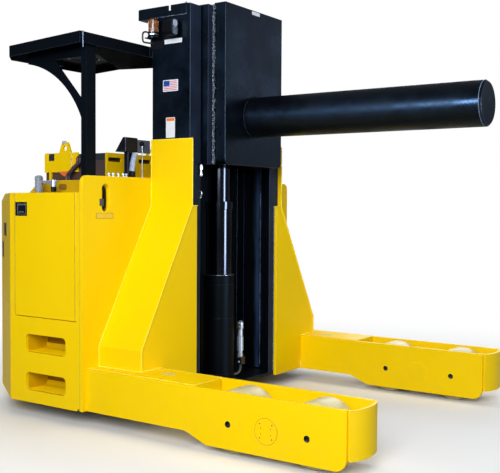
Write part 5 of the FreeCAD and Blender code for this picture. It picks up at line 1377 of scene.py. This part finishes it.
# A thin pale ring round the ram's tip: a painted highlight.
ram_rim_highlight = circle_points("x", (1757, 0, ram_height), 150.4, 64)
keep_object("ram_rim_highlight", groove(ram_rim_highlight[:-1] + ram_rim_highlight[:1], 2.4, "painted_gleam"), "carriage", "frame_black")
keep_object("guard_slot_glints", join_meshes("guard_slot_glints", slot_glints), "root", "frame_black")
# The guard's corner bead is drawn in the painted highlight colour, as a bright line.
weld("guard_corner_weld", [[(-575, -1304.5, 2596), (-575, -1304.5, 2700)]], 8.0, "painted_gleam", "root",
     "frame_black", pitch=0.5)
print("mast and guard fittings done")

# %% [markdown]
# ## Panels of the tail and the left flank
# The tail cover is one big plate with a panel set into it, held by bolts, and the left flank has a
# panel line like the door's. Insetting a face with a small step back gives a real groove, which a
# drawn line can't, and nothing stands out past the plate. A louvred vent lets the battery's heat out.

# %% Set a panel into the largest face that looks one way
def set_in_panel(node, look, margin, steps):
    """Insets the largest face along look, then each (width, depth) of steps, in millimetres."""
    mesh = bpy.data.objects[node + "_soft"].data
    mesh.materials.append(finishes["yellow_seam"])
    shape = bmesh.new()
    shape.from_mesh(mesh)
    facing = {f for f in shape.faces if f.normal.dot(Vector(look)) > 0.9999}
    between = [e for e in shape.edges if len(e.link_faces) == 2 and facing.issuperset(e.link_faces)]
    bmesh.ops.dissolve_edges(shape, edges=between, use_verts=True)
    facing = [f for f in shape.faces if f.normal.dot(Vector(look)) > 0.99]
    panel = max(facing, key=lambda f: f.calc_area())
    bmesh.ops.inset_individual(shape, faces=[panel], thickness=margin / 1000)
    for wide, deep in steps:
        ring = bmesh.ops.inset_individual(shape, faces=[panel], thickness=wide / 1000, depth=deep / 1000)
        for face in ring["faces"]:
            if face is not panel:
                face.material_index = 1
                face.smooth = False
    shape.to_mesh(mesh)
    shape.free()
    print("panel set into", node)


set_in_panel("rear_cover", (-1, 0, 0), 70, [(5, -8)])
set_in_panel("left_side_panel", (0, 1, 0), 34, [(3, -5), (3, 5)])

# %% Bolts and vent of the tail
low, high = (v * 1000 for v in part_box("rear_cover"))
tail_x = low.x + 8
bolt_spots = [((tail_x, y, z), (-1, 0, 0)) for y in (-860, -290, 290, 860) for z in (900, 1490)]
screws("tail_bolts", bolt_spots, 11, 6, "zinc_plate", "root", "roller_steel")
vent_rim = [(tail_x - 2, y, z) for y, z in ((292, 1268), (-292, 1268), (-292, 1422), (292, 1422), (292, 1268))]
vent = [label("vent_back", (tail_x, 290, 1270), (0, -1, 0), vertical, 580, 150, "console_black", corner=12,
              thick=1.0),
        slats("vent_slats", [(tail_x - 3.4, 0, 1284), (tail_x - 3.4, 0, 1406)], 9, (8, 556, 4), "yellow_seam"),
        groove(vent_rim, 2.4, "yellow_seam")]
keep_object("tail_vent", join_meshes("tail_vent", vent), "root", "body_yellow")
print("tail done")

# %% [markdown]
# ## Steps and seams of the right flank
# Each step is a pocket pressed from plate: its opening has rounded corners, its back curves up from
# the floor, and the floor is ribbed for the shoe. The rounds are short bars laid in the pocket's sharp
# corners, because the pocket itself has to keep the CAD model's size. The seams beside the door are
# thin dark lines, which is how the gap between two painted plates looks.

# %% Rounded corners, curved back and ribbed floor of the two steps
flank_y, step_x, step_back, step_height, corner_round = -1314.5, (-1145, -737), -1108.5, 130, 34
step_details = []
for floor_z in (192, 468):
    for x, sx in ((step_x[0], 1), (step_x[1], -1)):
        for z, sz in ((floor_z, 1), (floor_z + step_height, -1)):
            arc = [(x + sx * corner_round * (1 - math.sin(a)), flank_y, z + sz * corner_round * (1 - math.cos(a)))
                   for a in (math.radians(18 * k) for k in range(6))]
            step_details.append(rod_of_shape("step_corner", [(x, flank_y, z)] + arc, (0, 24, 0), "yellow_enamel"))
    cove = [(step_x[0], step_back - y, floor_z + z)
            for y, z in ((0, 0.5), (0, 40), (3, 26), (9, 14), (19, 6), (36, 0.5))]
    step_details.append(rod_of_shape("step_cove", cove, (step_x[1] - step_x[0], 0, 0), "yellow_enamel"))
    step_details.append(slats("step_ribs", [(-941, -1272, floor_z + 1.5), (-941, -1152, floor_z + 1.5)], 11,
                              (5, 404, 4), "yellow_enamel"))
keep_object("step_details", join_meshes("step_details", step_details), "root", "body_yellow")
print("steps done")

# %% Dark seams of the door and of the side plate
side_seams = [groove([(-1258.3, -1312.4, 730), (-1258.3, -1312.4, 1607)], 2.2, "seam_brown"),
              groove([(-603, -1313.3, 136), (-603, -1313.3, 1606)], 1.4, "seam_brown")]
keep_object("side_seams", join_meshes("side_seams", side_seams), "root", "body_yellow")
hinge_seam = groove([(-646, -1313.5, 730), (-646, -1313.5, 1607)], 1.3, "seam_brown")
keep_object("door_hinge_seam", hinge_seam, "entry_door", "body_yellow")
print("seams done")

# %% [markdown]
# ## Leaning rest
# The rest is a small upright pad of grey vinyl over foam. A rounded box would look like a block of
# wood, so it is inflated: the shape is remeshed into even quads, given Cloth with air pressure inside,
# and run for twenty steps. A limit on how far each point moves keeps it slim. One subdivision
# smooths it, and a piped seam runs round its middle afterwards, because the remesh would erase it.

# %% An inflated pad
def inflate(name, mesh, voxel_mm, pressure, most_mm):
    """The mesh remeshed and swollen by cloth with pressure inside, as a plain mesh."""
    holder = held(mesh)
    even = holder.modifiers.new("even", "REMESH")
    even.mode = "VOXEL"
    even.voxel_size = voxel_mm / 1000
    holder.data = baked_mesh(holder)
    holder.modifiers.clear()
    before = [v.co.copy() for v in holder.data.vertices]
    cloth = holder.modifiers.new("air", "CLOTH")
    cloth.settings.use_pressure = True
    cloth.settings.uniform_pressure_force = pressure
    cloth.settings.effector_weights.gravity = 0.0
    cloth.settings.quality = 6
    cloth.point_cache.frame_start, cloth.point_cache.frame_end = 1, 20
    for step in range(1, 21):
        bpy.context.scene.frame_set(step)
    swollen = baked_mesh(holder)
    holder.modifiers.clear()
    bpy.context.scene.frame_set(1)
    holder.data = swollen
    far = 0.0
    for vert, start in zip(swollen.vertices, before):
        moved = vert.co - start
        far = max(far, moved.length)
        if moved.length > most_mm / 1000:
            vert.co = start + moved.normalized() * most_mm / 1000
    print(name, "points", len(before), "furthest", round(far * 1000, 1), "mm")
    smoother = holder.modifiers.new("smoother", "SUBSURF")
    smoother.levels = smoother.render_levels = 1
    return finished_mesh(holder)


# %% The rest
low, high = (v * 1000 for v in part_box("leaning_rest"))
inset = 6.0
pad_core = label("pad_core", (low.x + inset, high.y - inset - 4, low.z + inset), right, vertical,
                 high.x - low.x - 2 * inset, high.z - low.z - 2 * inset, "pad_vinyl", corner=16,
                 thick=high.y - low.y - 2 * inset - 4)
pad_mesh = inflate("rest_pad", pad_core, 4.0, 4.0, 6.0)
coat_mesh(pad_mesh, "pad_vinyl")
rest_pad = keep_object("rest_pad", pad_mesh, "root", "pad_fabric", "leaning_rest")
middle_y = (low.y + high.y) / 2
piping = [(low.x + 3 + (high.x - low.x - 6) * u, middle_y, low.z + 3 + (high.z - low.z - 6) * v) for u, v in
          [(0.0, 0.12), (0.06, 0.02), (0.25, 0.0), (0.75, 0.0), (0.94, 0.02), (1.0, 0.12), (1.0, 0.88),
           (0.94, 0.98), (0.75, 1.0), (0.25, 1.0), (0.06, 0.98), (0.0, 0.88), (0.0, 0.12)]]
keep_object("rest_piping", groove(piping, 1.6, "textured_grey"), "root", "pad_fabric")
print("rest pad box", [round(v * 1000) for v in rest_pad.dimensions])
